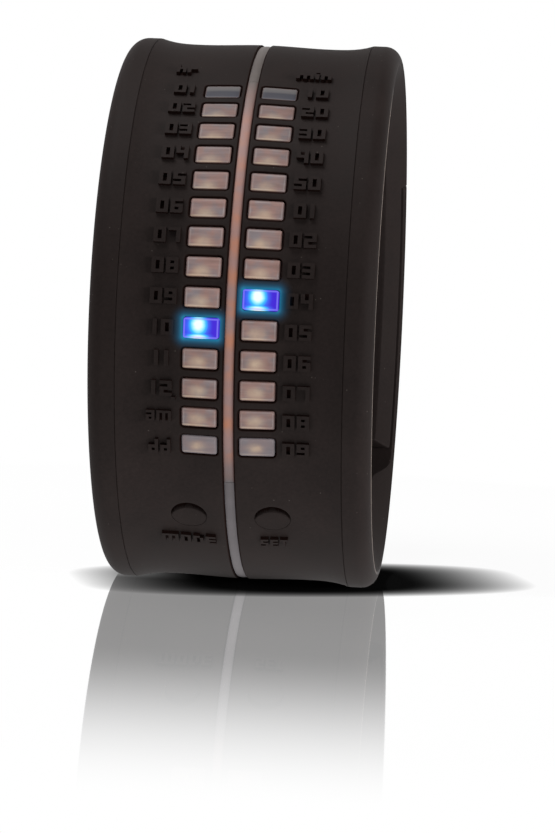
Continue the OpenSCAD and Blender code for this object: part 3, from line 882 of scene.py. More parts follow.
def column_tree():
    """Geometry nodes that set a lug at each row of a column on its plate, with its row as an attribute."""
    tree = bpy.data.node_groups.new("window_column", "GeometryNodeTree")
    ask = tree.interface.new_socket
    inputs = {}
    for name, kind in (
        ("Lug", "Object"), ("Rows", "Int"), ("First Angle", "Float"), ("Angle Step", "Float"),
        ("Radius", "Float"), ("Offset", "Float"), ("Centre Height", "Float"), ("Plate", "Object"),
        ("Material", "Material"),
    ):
        inputs[name] = ask(name=name, in_out="INPUT", socket_type="NodeSocket" + kind).identifier
    ask(name="Geometry", in_out="OUTPUT", socket_type="NodeSocketGeometry")
    new = tree.nodes.new
    calc = make_calc(tree)
    given = new("NodeGroupInput").outputs
    result = new("NodeGroupOutput")
    index = new("GeometryNodeInputIndex").outputs[0]
    angle = calc("SUBTRACT", given["First Angle"], calc("MULTIPLY", index, given["Angle Step"]))
    front = calc("MULTIPLY", calc("MULTIPLY", calc("COSINE", angle), given["Radius"]), -1.0)
    height = calc("MULTIPLY_ADD", calc("SINE", angle), given["Radius"], given["Centre Height"])
    places = add_node(tree, "ShaderNodeCombineXYZ", {"X": given["Offset"], "Y": front, "Z": height})
    tilt = add_node(tree, "ShaderNodeCombineXYZ", {"X": calc("SUBTRACT", math.pi / 2, angle)})
    points = add_node(tree, "GeometryNodePoints", {"Count": given["Rows"], "Position": places.outputs[0]})
    lug = add_node(tree, "GeometryNodeObjectInfo", {"Object": given["Lug"]})
    copies = add_node(tree, "GeometryNodeInstanceOnPoints", {
        "Points": points.outputs[0], "Instance": lug.outputs["Geometry"], "Rotation": tilt.outputs[0],
    })
    numbered = add_node(tree, "GeometryNodeStoreNamedAttribute", {}, domain="INSTANCE", data_type="FLOAT")
    for label, value in (("Name", "row"), ("Geometry", copies.outputs[0]), ("Value", index)):
        set_or_link(tree, numbered.inputs[label], value)
    real = add_node(tree, "GeometryNodeRealizeInstances", {0: numbered.outputs[0]})
    plate = add_node(tree, "GeometryNodeObjectInfo", {"Object": given["Plate"]})
    both = add_node(tree, "GeometryNodeJoinGeometry", {0: real.outputs[0]})
    tree.links.new(plate.outputs["Geometry"], both.inputs[0])
    finish = add_node(tree, "GeometryNodeSetMaterial", {
        "Geometry": both.outputs[0], "Material": given["Material"],
    })
    tree.links.new(finish.outputs[0], result.inputs[0])
    return tree, inputs


def window_plate(name, side, material):
    """The clear plate of one column of windows, which lies under the rubber."""
    near_x = side * PLATE_FROM
    far_x = side * PLATE_TO
    section = [(near_x, LENS_BOTTOM), (far_x, LENS_BOTTOM), (far_x, LENS_TOP), (near_x, LENS_TOP)]
    return swept_bar(name, section, spread(PLATE_LOW, PLATE_HIGH, 72), [material])


def window_column(name, side, lit_row, lug, tree, inputs, frosted, lit):
    """One column's clear plate under the rubber, with a lug up through each window."""
    plate = window_plate(name + "_plate", side, frosted)
    holder = show(name + "_holder", bpy.data.meshes.new(name + "_holder"))
    maker = holder.modifiers.new("column", "NODES")
    maker.node_group = tree
    values = {
        "Lug": lug, "Plate": plate, "Material": frosted, "Rows": ROWS,
        "First Angle": math.radians(FIRST_ROW), "Angle Step": math.radians(ROW_STEP),
        "Radius": (LENS_BOTTOM + LENS_SEAT) * MM, "Offset": side * WINDOW_X * MM,
        "Centre Height": CENTRE_Z * MM,
    }
    for key, value in values.items():
        maker[inputs[key]] = value
    bpy.context.view_layer.update()
    evaluated = holder.evaluated_get(bpy.context.evaluated_depsgraph_get())
    mesh = bpy.data.meshes.new_from_object(evaluated)
    mesh.name = name
    bpy.data.objects.remove(holder)
    bpy.data.objects.remove(plate)
    mesh.materials.clear()
    mesh.materials.append(frosted)
    mesh.materials.append(lit)
    for vert in mesh.vertices:
        out = Vector((0, vert.co.y, vert.co.z - CENTRE_Z * MM))
        if out.length > ROOF_R * MM:
            vert.co += out.normalized() * (outer_r(vert.co.x / MM) - outer_r(WINDOW_X)) * MM
    row = mesh.attributes["row"].data
    for face in mesh.polygons:
        face.material_index = 1 if round(row[face.vertices[0]].value) == lit_row else 0
    return show(name, mesh)


# Raised figures: each is rows of cells from the top, with a stroke or counter to each row and column.
GLYPHS = {
    "0": ("###", "# #", "# #", "# #", "###"), "1": ("#", "#", "#", "#", "#"),
    "2": ("###", "  #", "###", "#  ", "###"), "3": ("###", "  #", "###", "  #", "###"),
    "4": ("# #", "# #", "###", "  #", "  #"), "5": ("###", "#  ", "###", "  #", "###"),
    "6": ("###", "#  ", "###", "# #", "###"), "7": ("###", "  #", "  #", "  #", "  #"),
    "8": ("###", "# #", "###", "# #", "###"), "9": ("###", "# #", "###", "  #", "###"),
    "a": ("###", "  #", "###", "# #", "###"), "d": ("  #", "  #", "###", "# #", "###"),
    "h": ("#  ", "#  ", "###", "# #", "# #"), "i": ("#", " ", "#", "#", "#"),
    "m": ("     ", "     ", "#####", "# # #", "# # #"), "n": ("   ", "   ", "###", "# #", "# #"),
    "r": ("   ", "   ", "###", "#  ", "#  "), "D": ("## ", "# #", "# #", "# #", "## "),
    "E": ("###", "#  ", "###", "#  ", "###"), "M": ("#####", "# # #", "# # #", "# # #", "# # #"),
    "O": ("###", "# #", "# #", "# #", "###"), "S": ("###", "#  ", "###", "  #", "###"),
    "T": ("###", " # ", " # ", " # ", " # "), ".": (" ", " ", " ", " ", "#"),
}


def add_glyph(bm, rows, u0, x0, height, widths):
    """Adds one flat figure, its lower left corner at (u0, x0), as a closed relief."""
    tops = [u0 + height]
    for share in (0.215, 0.178, 0.214, 0.178, 0.215):
        tops.append(tops[-1] - height * share)
    lefts = [x0]
    for step in widths:
        lefts.append(lefts[-1] + step)
    filled = {(i, j) for i, row in enumerate(rows) for j, cell in enumerate(row) if cell == "#"}
    made = {}

    def corner(i, j, z):
        key = (i, j, z)
        if key not in made:
            made[key] = bm.verts.new((lefts[j], tops[i], z))
        return made[key]

    for i, j in filled:
        for z in (-SUNK, RELIEF):
            around = ((i, j), (i, j + 1), (i + 1, j + 1), (i + 1, j))
            bm.faces.new([corner(*place, z) for place in around])
        # Open sides get walls in painted shade.
        for (di, dj), (a, b) in (
            ((-1, 0), ((i, j), (i, j + 1))), ((1, 0), ((i + 1, j), (i + 1, j + 1))),
            ((0, -1), ((i, j), (i + 1, j))), ((0, 1), ((i, j + 1), (i + 1, j + 1))),
        ):
            if (i + di, j + dj) not in filled:
                wall = [corner(*a, -SUNK), corner(*b, -SUNK), corner(*b, RELIEF), corner(*a, RELIEF)]
                bm.faces.new(wall).material_index = PAINTED_SHADE
    # Enclosed and half-enclosed counters get a plate of painted shade near their floor.
    for i in range(5):
        for j in range(len(widths)):
            sides = [place in filled for place in ((i, j - 1), (i, j + 1), (i - 1, j), (i + 1, j))]
            if (i, j) not in filled and (all(sides[:2]) or sum(sides) > 2):
                add_counter_shade(bm, lefts[j], lefts[j + 1], tops[i + 1], tops[i])
    return lefts[-1]


def add_counter_shade(bm, left, right, low, high):
    """A thin closed slab of painted shade on the floor of a figure's counter."""
    made = bmesh.ops.create_cube(bm, size=1)["verts"]
    for vert in made:
        vert.co.x = (left + right) / 2 + vert.co.x * (right - left + 0.02)
        vert.co.y = (low + high) / 2 + vert.co.y * (high - low + 0.02)
        vert.co.z = COUNTER_SHADE_TOP if vert.co.z > 0 else -SUNK
    for face in {face for vert in made for face in vert.link_faces}:
        face.material_index = PAINTED_SHADE


def word_width(word, scale, gap):
    """Width of a word in raised figures."""
    total = -gap
    for letter in word:
        columns = len(GLYPHS[letter][0])
        total += scale * (STROKE * ((columns + 1) // 2) + COUNTER * (columns // 2)) + gap
        total += 2 * BEARING.get(letter, 0)
    return total


def add_word(bm, word, angle, x, height=GLYPH_H, scale=1.0, gap=LETTER_GAP):
    """Adds a word in raised figures, its middle at an angle and at x."""
    place = x - word_width(word, scale, gap) / 2
    for letter in word:
        rows = GLYPHS[letter]
        widths = [scale * (COUNTER if j % 2 else STROKE) for j in range(len(rows[0]))]
        side = BEARING.get(letter, 0)
        place = add_glyph(bm, rows, angle * ARC_MM - height / 2, place + side, height, widths) + side + gap


def raised_words(name, words, materials):
    """Raised figures, bevelled while flat and then laid on the band's surface."""
    bm = bmesh.new()
    for word in words:
        add_word(bm, *word)
    bmesh.ops.recalc_face_normals(bm, faces=bm.faces)
    top = [e for e in bm.edges if all(v.co.z == RELIEF for v in e.verts) and e.calc_face_angle(0) > 1]
    bmesh.ops.bevel(bm, geom=top, offset=FIGURE_BEVEL, segments=2, affect="EDGES", profile=0.5, material=0)
    for vert in bm.verts:
        x, u, z = vert.co
        vert.co = ring_point(u / ARC_MM, x, outer_r(x) + z)
    return show_faces(name, bm, materials, 25)


def turned_ring(matrix, distance, r, count, lower=None):
    """A ring of places at a distance from a line outwards, at radius r less what lower gives for each."""
    ring = []
    for i in range(count):
        across = distance * math.cos(math.tau * i / count)
        up = distance * math.sin(math.tau * i / count)
        drop = lower(across, up, r) if lower else 0
        ring.append(matrix @ (Vector((across, up, r - drop)) * MM))
    return ring


def add_turned(shell, matrix, profile, count, lower=None):
    """Adds a solid turned about a line outwards; its profile (distance, r) has both ends on the line."""
    rings = [turned_ring(matrix, distance, r, count, lower) for distance, r in profile[1:-1]]
    shell.grid(rings, closed=True)
    for ring, (_, r) in ((rings[0], profile[0]), (rings[-1], profile[-1])):
        shell.fan(ring, matrix @ (Vector((0, 0, r)) * MM))


def crescent(across, up):
    """1 in the deep crescent at a button's upper edge and 0 on the rest of its face."""
    away = math.hypot(across, up + CRESCENT_SHIFT) / CRESCENT_R
    return min(max((away - 1) / 0.06, 0), 1)


def button_piece(name, x, materials):
    """A button's flush cap with a deep crescent at its upper edge for the nail, painted shade in the
    crescent, its flange and stem.
    """
    def lower(across, up, r):
        if r <= FLANGE_TOP:
            return 0
        flush = BUTTON_TOP - outer_r(x + across) + up ** 2 / (2 * BUTTON_TOP) + 0.02
        dip = min(max((up + 0.6) / (BUTTON_R + 0.6), 0), 1)
        return flush + BUTTON_DIP * dip ** 2 + CRESCENT_DEPTH * crescent(across, up)

    profile = [(0, STEM_END), (STEM_R, STEM_END), (STEM_R, FLANGE_BOTTOM), (FLANGE_R, FLANGE_BOTTOM)]
    profile += [(FLANGE_R, FLANGE_TOP), (BUTTON_R, FLANGE_TOP), (BUTTON_R, BUTTON_TOP - 0.04)]
    profile += [(BUTTON_R - 0.01, BUTTON_TOP - 0.01), (BUTTON_R - 0.04, BUTTON_TOP)]
    profile += [(BUTTON_R * share, BUTTON_TOP) for share in reversed(spread(0.06, 0.9, 22))]
    profile.append((0, BUTTON_TOP))
    matrix = local_frame(BUTTON_ANGLE, x)
    shell = Shell()
    add_turned(shell, matrix, profile, 96, lower)
    piece = shell.build(name, materials, 60)
    flat = matrix.inverted()
    # Painted shade on the faces deep in the crescent.
    for face in piece.data.polygons:
        across, up, out = flat @ face.center / MM
        if out > FLANGE_TOP + 0.06 and crescent(across, up) > 0.5:
            face.material_index = PAINTED_SHADE
    return piece


def rivet_heads(materials):
    """The snap studs: a domed rivet plate outside, the neck, and the snap head inside."""
    profile = [(0, STUD_END), (0.92, STUD_END), (1.2, STUD_END + 0.1), (STUD_HEAD_R, STUD_END + 0.35)]
    profile += [(STUD_HEAD_R, STUD_HEAD_TOP), (STUD_NECK_R, STUD_HEAD_TOP), (STUD_NECK_R, RIVET_BOTTOM)]
    profile += [(RIVET_R - 0.1, RIVET_BOTTOM), (RIVET_R, RIVET_BOTTOM + 0.1)]
    profile += [(RIVET_R * math.sin(t), RIVET_RIM + RIVET_RISE * math.cos(t)) for t in reversed(quarter(7))]
    shell = Shell()
    for x in (-STUD_X, STUD_X):
        add_turned(shell, local_frame(STUD_ANGLE, x), profile, 48)
    return shell.build("stud_rivets", materials, 40)


def roll(bore_r, lip_r, way, r, rise):
    """Half a turn of rolled edge at radius r, from the bore to the lip, or back with a way of 1."""
    middle = (bore_r + lip_r) / 2
    half = (lip_r - bore_r) / 2
    return [(middle + way * half * math.cos(t), r + rise * math.sin(t)) for t in spread(0, math.pi, 8)]


def eyelet_rings(materials):
    """The eyelets: each a tube rolled over at both faces of the tongue."""
    profile = roll(EYELET_BORE_R, EYELET_OUTER_LIP_R, -1, TONGUE_TOP, 0.14)
    profile += [(EYELET_WALL_R, TONGUE_TOP - 0.02), (EYELET_WALL_R, WRIST_R + 0.06)]
    profile += roll(EYELET_BORE_R, EYELET_INNER_LIP_R, 1, WRIST_R + 0.05, -0.05)
    shell = Shell()
    for angle in EYELET_ANGLES:
        for x in (-STUD_X, STUD_X):
            matrix = local_frame(angle, x)
            rings = [turned_ring(matrix, distance, r, 48) for distance, r in profile]
            shell.grid(rings + [rings[0]], closed=True)
    return shell.build("eyelet_rings", materials, 40)


# Shader groups. Each puts out colours, masks or heights, and the materials hold the shaders.
SURFACE_OUTPUTS = [
    ("Colour", "NodeSocketColor"), ("Roughness Change", "NodeSocketFloat"), ("Height", "NodeSocketFloat"),
]


def start_group(name, inputs, outputs):
    """A shader group with its inputs' first values, and its input and output nodes."""
    tree = bpy.data.node_groups.new(name, "ShaderNodeTree")
    for label, value in inputs:
        kind = "NodeSocketColor" if isinstance(value, tuple) else "NodeSocketFloat"
        tree.interface.new_socket(name=label, in_out="INPUT", socket_type=kind).default_value = value
    for label, kind in outputs:
        tree.interface.new_socket(name=label, in_out="OUTPUT", socket_type=kind)
    return tree, tree.nodes.new("NodeGroupInput"), tree.nodes.new("NodeGroupOutput")


def grain_group():
    """Fine moulded grain with broad, faint changes of tone and sparse pale dust."""
    tree, given, result = start_group(
        "moulded_grain",
        [("Colour", (0.5, 0.5, 0.5, 1)), ("Tone Change", 0.15), ("Grain Size", 2500.0), ("Dust", 0.1)],
        SURFACE_OUTPUTS,
    )
    calc = make_calc(tree)
    place = object_place(tree)
    fine = noise(tree, place, given.outputs["Grain Size"], 3)
    shift = calc("SUBTRACT", calc("ADD", noise(tree, place, 160, 4), fine), 1)
    tone = calc("MULTIPLY_ADD", shift, given.outputs["Tone Change"], 1)
    specks = add_node(tree, "ShaderNodeTexVoronoi", {"Vector": place, "Scale": 900})
    speck = calc("SUBTRACT", 1, calc("DIVIDE", specks.outputs["Distance"], 0.075), clamp=True)
    dust = calc("MULTIPLY", speck, calc("GREATER_THAN", specks.outputs["Color"], 0.55))
    dust = calc("MULTIPLY", dust, given.outputs["Dust"], clamp=True)
    dusty = mix_colours(tree, dust, scaled(tree, given.outputs["Colour"], tone), (0.2, 0.175, 0.155))
    tree.links.new(dusty, result.inputs["Colour"])
    tree.links.new(calc("MULTIPLY", shift, 0.12), result.inputs["Roughness Change"])
    tree.links.new(fine, result.inputs["Height"])
    return tree


def brushed_group():
    """Fine drawn lines of a metal face, along the wrist, with broad tarnish."""
    tree, given, result = start_group(
        "drawn_metal", [("Colour", (0.6, 0.6, 0.6, 1)), ("Line Size", 3000.0), ("Tarnish", 0.2)],
        SURFACE_OUTPUTS,
    )
    calc = make_calc(tree)
    place = object_place(tree)
    lines = noise(tree, drawn_out(tree, place, (0.03, 1, 1)), given.outputs["Line Size"], 2)
    clean = calc("SUBTRACT", 1.08, calc("MULTIPLY", noise(tree, place, 240, 5), given.outputs["Tarnish"]))
    tree.links.new(scaled(tree, given.outputs["Colour"], clean), result.inputs["Colour"])
    tree.links.new(calc("MULTIPLY_ADD", lines, 0.3, -0.15), result.inputs["Roughness Change"])
    tree.links.new(lines, result.inputs["Height"])
    return tree


def round_band(tree, calc):
    """Sockets for the place across the band in mm and the place round it at BAND_R in mm."""
    place = parts_of(tree, object_place(tree))
    across = calc("DIVIDE", place["X"], MM)
    height = calc("SUBTRACT", place["Z"], CENTRE_Z * MM)
    turn = calc("ARCTAN2", height, calc("MULTIPLY", place["Y"], -1))
    return across, calc("MULTIPLY", turn, BAND_R)


def halo_group():
    """Light spilling over the rubber round a lit window, 1 at its edge and 0 beyond its reach."""
    tree, given, result = start_group(
        "window_halo", [("Across", 0.0), ("Along", 0.0), ("Reach", 1.0)], [("Mask", "NodeSocketFloat")],
    )
    calc = make_calc(tree)
    across, along = round_band(tree, calc)
    beside = calc("ABSOLUTE", calc("SUBTRACT", across, given.outputs["Across"]))
    beside = calc("MAXIMUM", calc("SUBTRACT", beside, WINDOW_W / 2 - HALO_INSET), 0)
    above = calc("ABSOLUTE", calc("SUBTRACT", along, given.outputs["Along"]))
    above = calc("MAXIMUM", calc("SUBTRACT", above, WINDOW_H / 2 - HALO_INSET), 0)
    away = calc("SQRT", calc("ADD", calc("MULTIPLY", beside, beside), calc("MULTIPLY", above, above)))
    close = calc("SUBTRACT", 1, calc("DIVIDE", away, given.outputs["Reach"]), clamp=True)
    tree.links.new(calc("POWER", close, HALO_FALL), result.inputs["Mask"])
    return tree


def lens_map_group():
    """Places on a window's own map: across and up from 0 to 1, and the distance to its rim in mm."""
    tree, _, result = start_group(
        "lens_map", [],
        [("Across", "NodeSocketFloat"), ("Up", "NodeSocketFloat"), ("Rim Distance", "NodeSocketFloat")],
    )
    calc = make_calc(tree)
    flat = tree.nodes.new("ShaderNodeUVMap")
    flat.uv_map = "window"
    place = parts_of(tree, flat.outputs[0])
    side = calc("SUBTRACT", 0.5, calc("ABSOLUTE", calc("SUBTRACT", place["X"], 0.5)))
    end = calc("SUBTRACT", 0.5, calc("ABSOLUTE", calc("SUBTRACT", place["Y"], 0.5)))
    rim = calc("MINIMUM", calc("MULTIPLY", side, WINDOW_W), calc("MULTIPLY", end, WINDOW_H))
    tree.links.new(place["X"], result.inputs["Across"])
    tree.links.new(place["Y"], result.inputs["Up"])
    tree.links.new(calc("SUBTRACT", rim, LENS_GAP), result.inputs["Rim Distance"])
    return tree


RUBBER_COLOUR = (0.0142, 0.0101, 0.0093)
# Colour of the painted highlight on the lip's outermost edge
EDGE_HIGHLIGHT_COLOUR = (0.19, 0.15, 0.125)
HALO = halo_group()
LENS_MAP = lens_map_group()
GRAIN = grain_group()
BRUSHED = brushed_group()


def start_material(name):
    """A new material with its node tree and its shader."""
    made = bpy.data.materials.new(name)
    made.use_nodes = True
    return made, made.node_tree, made.node_tree.nodes["Principled BSDF"]


def place_group(tree, group, values):
    """A group placed in a tree, with values for its inputs by name."""
    node = tree.nodes.new("ShaderNodeGroup")
    node.node_tree = group
    for label, value in values.items():
        node.inputs[label].default_value = value
    return node


def link_surface(tree, shader, source, roughness, depth):
    """Feeds a group's colour, roughness change and height to a shader."""
    tree.links.new(source.outputs["Colour"], shader.inputs["Base Color"])
    rough = make_calc(tree)("ADD", source.outputs["Roughness Change"], roughness, clamp=True)
    tree.links.new(rough, shader.inputs["Roughness"])
    add_bump(tree, shader, source.outputs["Height"], 0.6, depth)


def moulded(name, colour, roughness, tone=0.15, grain=2500.0, dust=0.1, depth=1.5e-5, specular=0.4):
    """A moulded rubber or plastic."""
    made, tree, shader = start_material(name)
    source = place_group(tree, GRAIN, {
        "Colour": (*colour, 1), "Tone Change": tone, "Grain Size": grain, "Dust": dust,
    })
    link_surface(tree, shader, source, roughness, depth)
    shader.inputs["Specular IOR Level"].default_value = specular
    return made


def metal(name, colour, roughness, line=3000.0, tarnish=0.2, depth=4e-6):
    """A metal with fine drawn lines."""
    made, tree, shader = start_material(name)
    source = place_group(tree, BRUSHED, {"Colour": (*colour, 1), "Line Size": line, "Tarnish": tarnish})
    link_surface(tree, shader, source, roughness, depth)
    shader.inputs["Metallic"].default_value = 1
    return made


def add_spill(made):
    """Adds the lit windows' light to a rubber."""
    tree = made.node_tree
    shader = tree.nodes["Principled BSDF"]
    calc = make_calc(tree)
    masks = []
    for side, row in ((-1, LIT_HOUR_ROW), (1, LIT_MINUTE_ROW)):
        halo = place_group(tree, HALO, {
            "Across": side * WINDOW_X, "Along": row_angle(row) * ARC_MM, "Reach": HALO_REACH,
        })
        masks.append(halo.outputs["Mask"])
    spill = calc("ADD", *masks)
    tint = ramp_node(tree, spill, [
        (0.0, (0.0, 0.1, 0.2)), (0.4, (0.0, 0.25, 0.5)), (0.85, (0.03, 0.55, 1.0)),
    ])
    tree.links.new(tint, shader.inputs["Emission Color"])
    tree.links.new(calc("MULTIPLY", spill, SPILL_LIGHT), shader.inputs["Emission Strength"])
    return made


def rubber_material():
    """The band's matt rubber, with the lit windows' light on it."""
    return add_spill(moulded(
        "cuff_rubber", RUBBER_COLOUR, 0.66, tone=0.6, grain=2400.0, dust=0.5, depth=1.6e-5, specular=0.06,
    ))


def spot(tree, centre, radius_u, radius_v, lift=0.0):
    """A round fall-off on the window's own map, 1 at its centre and 0 at its rim."""
    calc = make_calc(tree)
    places = place_group(tree, LENS_MAP, {})
    across = calc("DIVIDE", calc("SUBTRACT", places.outputs["Across"], centre[0]), radius_u)
    up = calc("SUBTRACT", calc("SUBTRACT", places.outputs["Up"], centre[1]), lift)
    up = calc("DIVIDE", up, radius_v)
    away = calc("SQRT", calc("ADD", calc("MULTIPLY", across, across), calc("MULTIPLY", up, up)))
    return fade(tree, 1, 0, away)


def frosted_material():
    """A dark window: frosted blush plastic over an unlit diode, with painted highlights low down and inside
    its rim, painted shade at its rim and in the rows far from the middle, a painted sky reflection in the
    top row, and greyer in the last row.
    """
    made, tree, shader = start_material("window_frosted")
    calc = make_calc(tree)
    places = place_group(tree, LENS_MAP, {})
    across, up = places.outputs["Across"], places.outputs["Up"]
    rim = places.outputs["Rim Distance"]
    row = tree.nodes.new("ShaderNodeAttribute")
    row.attribute_name = "row"
    down = calc("DIVIDE", row.outputs["Fac"], ROWS - 1)
    patch = calc("MULTIPLY_ADD", streaks(tree, 620, (1, 1, 1)), 3.6, -1.45, clamp=True)
    tone = mix_colours(tree, patch, (0.27, 0.165, 0.145), (0.2, 0.17, 0.178))
    line = calc("MULTIPLY_ADD", streaks(tree, 2600, (0.1, 1, 1)), 0.7, 0.65)
    diode = spot(tree, (0.44, 0.14), 0.36, 0.4, calc("MULTIPLY", down, 0.3))
    diode = calc("MULTIPLY", diode, calc("MULTIPLY_ADD", streaks(tree, 900, (1, 1, 1)), 0.9, 0.2))
    diode = calc("MULTIPLY", diode, calc("MULTIPLY_ADD", down, 0.35, 0.9), clamp=True)
    warm = mix_colours(tree, diode, scaled(tree, tone, line), (0.5, 0.375, 0.275))
    # Painted highlight: a warm line low on the lens, left of its middle.
    sill = calc("MULTIPLY", band_mask(calc, up, 0.13, 0.015, 0.05), 0.55)
    sill = calc("MULTIPLY", sill, band_mask(calc, across, 0.38, 0.2, 0.25))
    warm = mix_colours(tree, sill, warm, (0.6, 0.44, 0.3))
    # Painted highlight: a pale line just inside the lens's rim.
    pale = calc("MULTIPLY", band_mask(calc, rim, 0.26, 0.01, 0.12), calc("MULTIPLY_ADD", patch, 0.24, 0.1))
    warm = mix_colours(tree, pale, warm, (0.55, 0.47, 0.44))
    # Painted shade: a dark brown line round the lens's rim.
    rim_shade = band_mask(calc, rim, 0.0, 0.05, 0.11)
    warm = mix_colours(tree, calc("MULTIPLY", rim_shade, 0.9), warm, (0.06, 0.026, 0.021))
    # Painted sky reflection: a cool ramp up the lens, used only in the top row and kept off its rim.
    sky_reflection = ramp_node(tree, up, [
        (0.05, (0.14, 0.145, 0.175)), (0.18, (0.055, 0.058, 0.08)), (0.5, (0.055, 0.058, 0.075)),
        (0.62, (0.14, 0.135, 0.14)), (0.9, (0.19, 0.175, 0.175)),
    ])
    top_row = calc("SUBTRACT", 1, row.outputs["Fac"], clamp=True)
    top_row = calc("MULTIPLY", top_row, calc("MULTIPLY_ADD", rim_shade, -0.8, 0.95))
    cool = mix_colours(tree, top_row, warm, sky_reflection)
    last_row = calc("MULTIPLY", calc("SUBTRACT", row.outputs["Fac"], ROWS - 2, clamp=True), 0.6)
    last_row = calc("MULTIPLY", last_row, calc("SUBTRACT", 1, calc("MULTIPLY", diode, 1.4), clamp=True))
    cool = mix_colours(tree, last_row, cool, (0.19, 0.18, 0.2))
    # Painted shade by row: the window's colour is brightest 0.6 of the way down the column and darker
    # towards its top and bottom rows.
    facing = calc("SUBTRACT", 1.07, calc("MULTIPLY", calc("ABSOLUTE", calc("SUBTRACT", down, 0.6)), 0.8))
    tree.links.new(scaled(tree, cool, facing), shader.inputs["Base Color"])
    shader.inputs["Roughness"].default_value = 0.6
    shader.inputs["Specular IOR Level"].default_value = 0.2
    add_bump(tree, shader, streaks(tree, 3500, (1, 1, 1)), 0.4, 1.5e-5)
    return made


def lit_material():
    """A lit window: deep blue, with the diode's pale hot spot left of its middle and one on the sill."""
    made, tree, shader = start_material("window_lit")
    calc = make_calc(tree)
    places = place_group(tree, LENS_MAP, {})
    rim = places.outputs["Rim Distance"]
    shader.inputs["Base Color"].default_value = (0.02, 0.015, 0.08, 1)
    shader.inputs["Roughness"].default_value = 0.5
    shader.inputs["Specular IOR Level"].default_value = 0.15
    wide = spot(tree, (0.36, 0.5), 0.52, 1.0)
    deep = mix_colours(tree, wide, (0.035, 0.004, 0.6), (0.02, 0.1, 1.0))
    high = spot(tree, (0.43, 0.64), 0.4, 0.78)
    low = calc("MULTIPLY", spot(tree, (0.43, 0.1), 0.5, 0.3), 0.95)
    hot = calc("MAXIMUM", high, low)
    mottle = calc("MULTIPLY_ADD", streaks(tree, 1800, (0.4, 1, 1)), 0.3, 0.85)
    hot = calc("MULTIPLY", hot, mottle)
    glow = ramp_node(tree, hot, [
        (0.0, (0, 0, 0)), (0.25, (0.0, 0.1, 0.45)), (0.48, (0.0, 0.5, 0.85)), (0.72, (0.4, 0.93, 0.95)),
        (0.88, (0.9, 1.0, 0.97)),
    ])
    both = mix_colours(tree, 1, deep, glow, "SCREEN")
    edge = calc("MULTIPLY", band_mask(calc, rim, 0.14, 0.03, 0.12), 0.55)
    edged = mix_colours(tree, edge, both, (0.3, 0.26, 1.0))
    tree.links.new(edged, shader.inputs["Emission Color"])
    shader.inputs["Emission Strength"].default_value = 1.0
    return made


def lengthwise(tree, calc, low, high):
    """0 at the low angle on the dial's side and 1 at the high one, in mm round the band."""
    _, along = round_band(tree, calc)
    return calc("DIVIDE", calc("SUBTRACT", along, low * ARC_MM), (high - low) * ARC_MM, clamp=True)


def edge_highlight_material():
    """The lip's outermost edge: a painted highlight, pale beside the dial and fading out toward both ends.
    """
    made, tree, shader = start_material("painted_edge_highlight_rubber")
    calc = make_calc(tree)
    source = place_group(tree, GRAIN, {"Tone Change": 1.2, "Grain Size": 1500.0, "Dust": 0.0})
    highlight_share = calc("SUBTRACT", 1, lengthwise(tree, calc, 50, 63))
    highlight_share = calc("MULTIPLY", highlight_share, lengthwise(tree, calc, -85, -40))
    tone = mix_colours(tree, highlight_share, RUBBER_COLOUR, EDGE_HIGHLIGHT_COLOUR)
    tree.links.new(tone, source.inputs["Colour"])
    link_surface(tree, shader, source, 0.6, 1.5e-5)
    shader.inputs["Specular IOR Level"].default_value = 0.2
    return made


def line_material(name, low_colour, high_colour, roughness):
    """The translucent line's grey plastic: cool low down and warmer above, with faint changes of tone."""
    made, tree, shader = start_material(name)
    calc = make_calc(tree)
    source = place_group(tree, GRAIN, {"Tone Change": 0.35, "Grain Size": 700.0, "Dust": 0.0})
    tone = mix_colours(tree, lengthwise(tree, calc, -40, 40), low_colour, high_colour)
    tree.links.new(tone, source.inputs["Colour"])
    link_surface(tree, shader, source, roughness, 6e-6)
    shader.inputs["Specular IOR Level"].default_value = 0.15
    return made


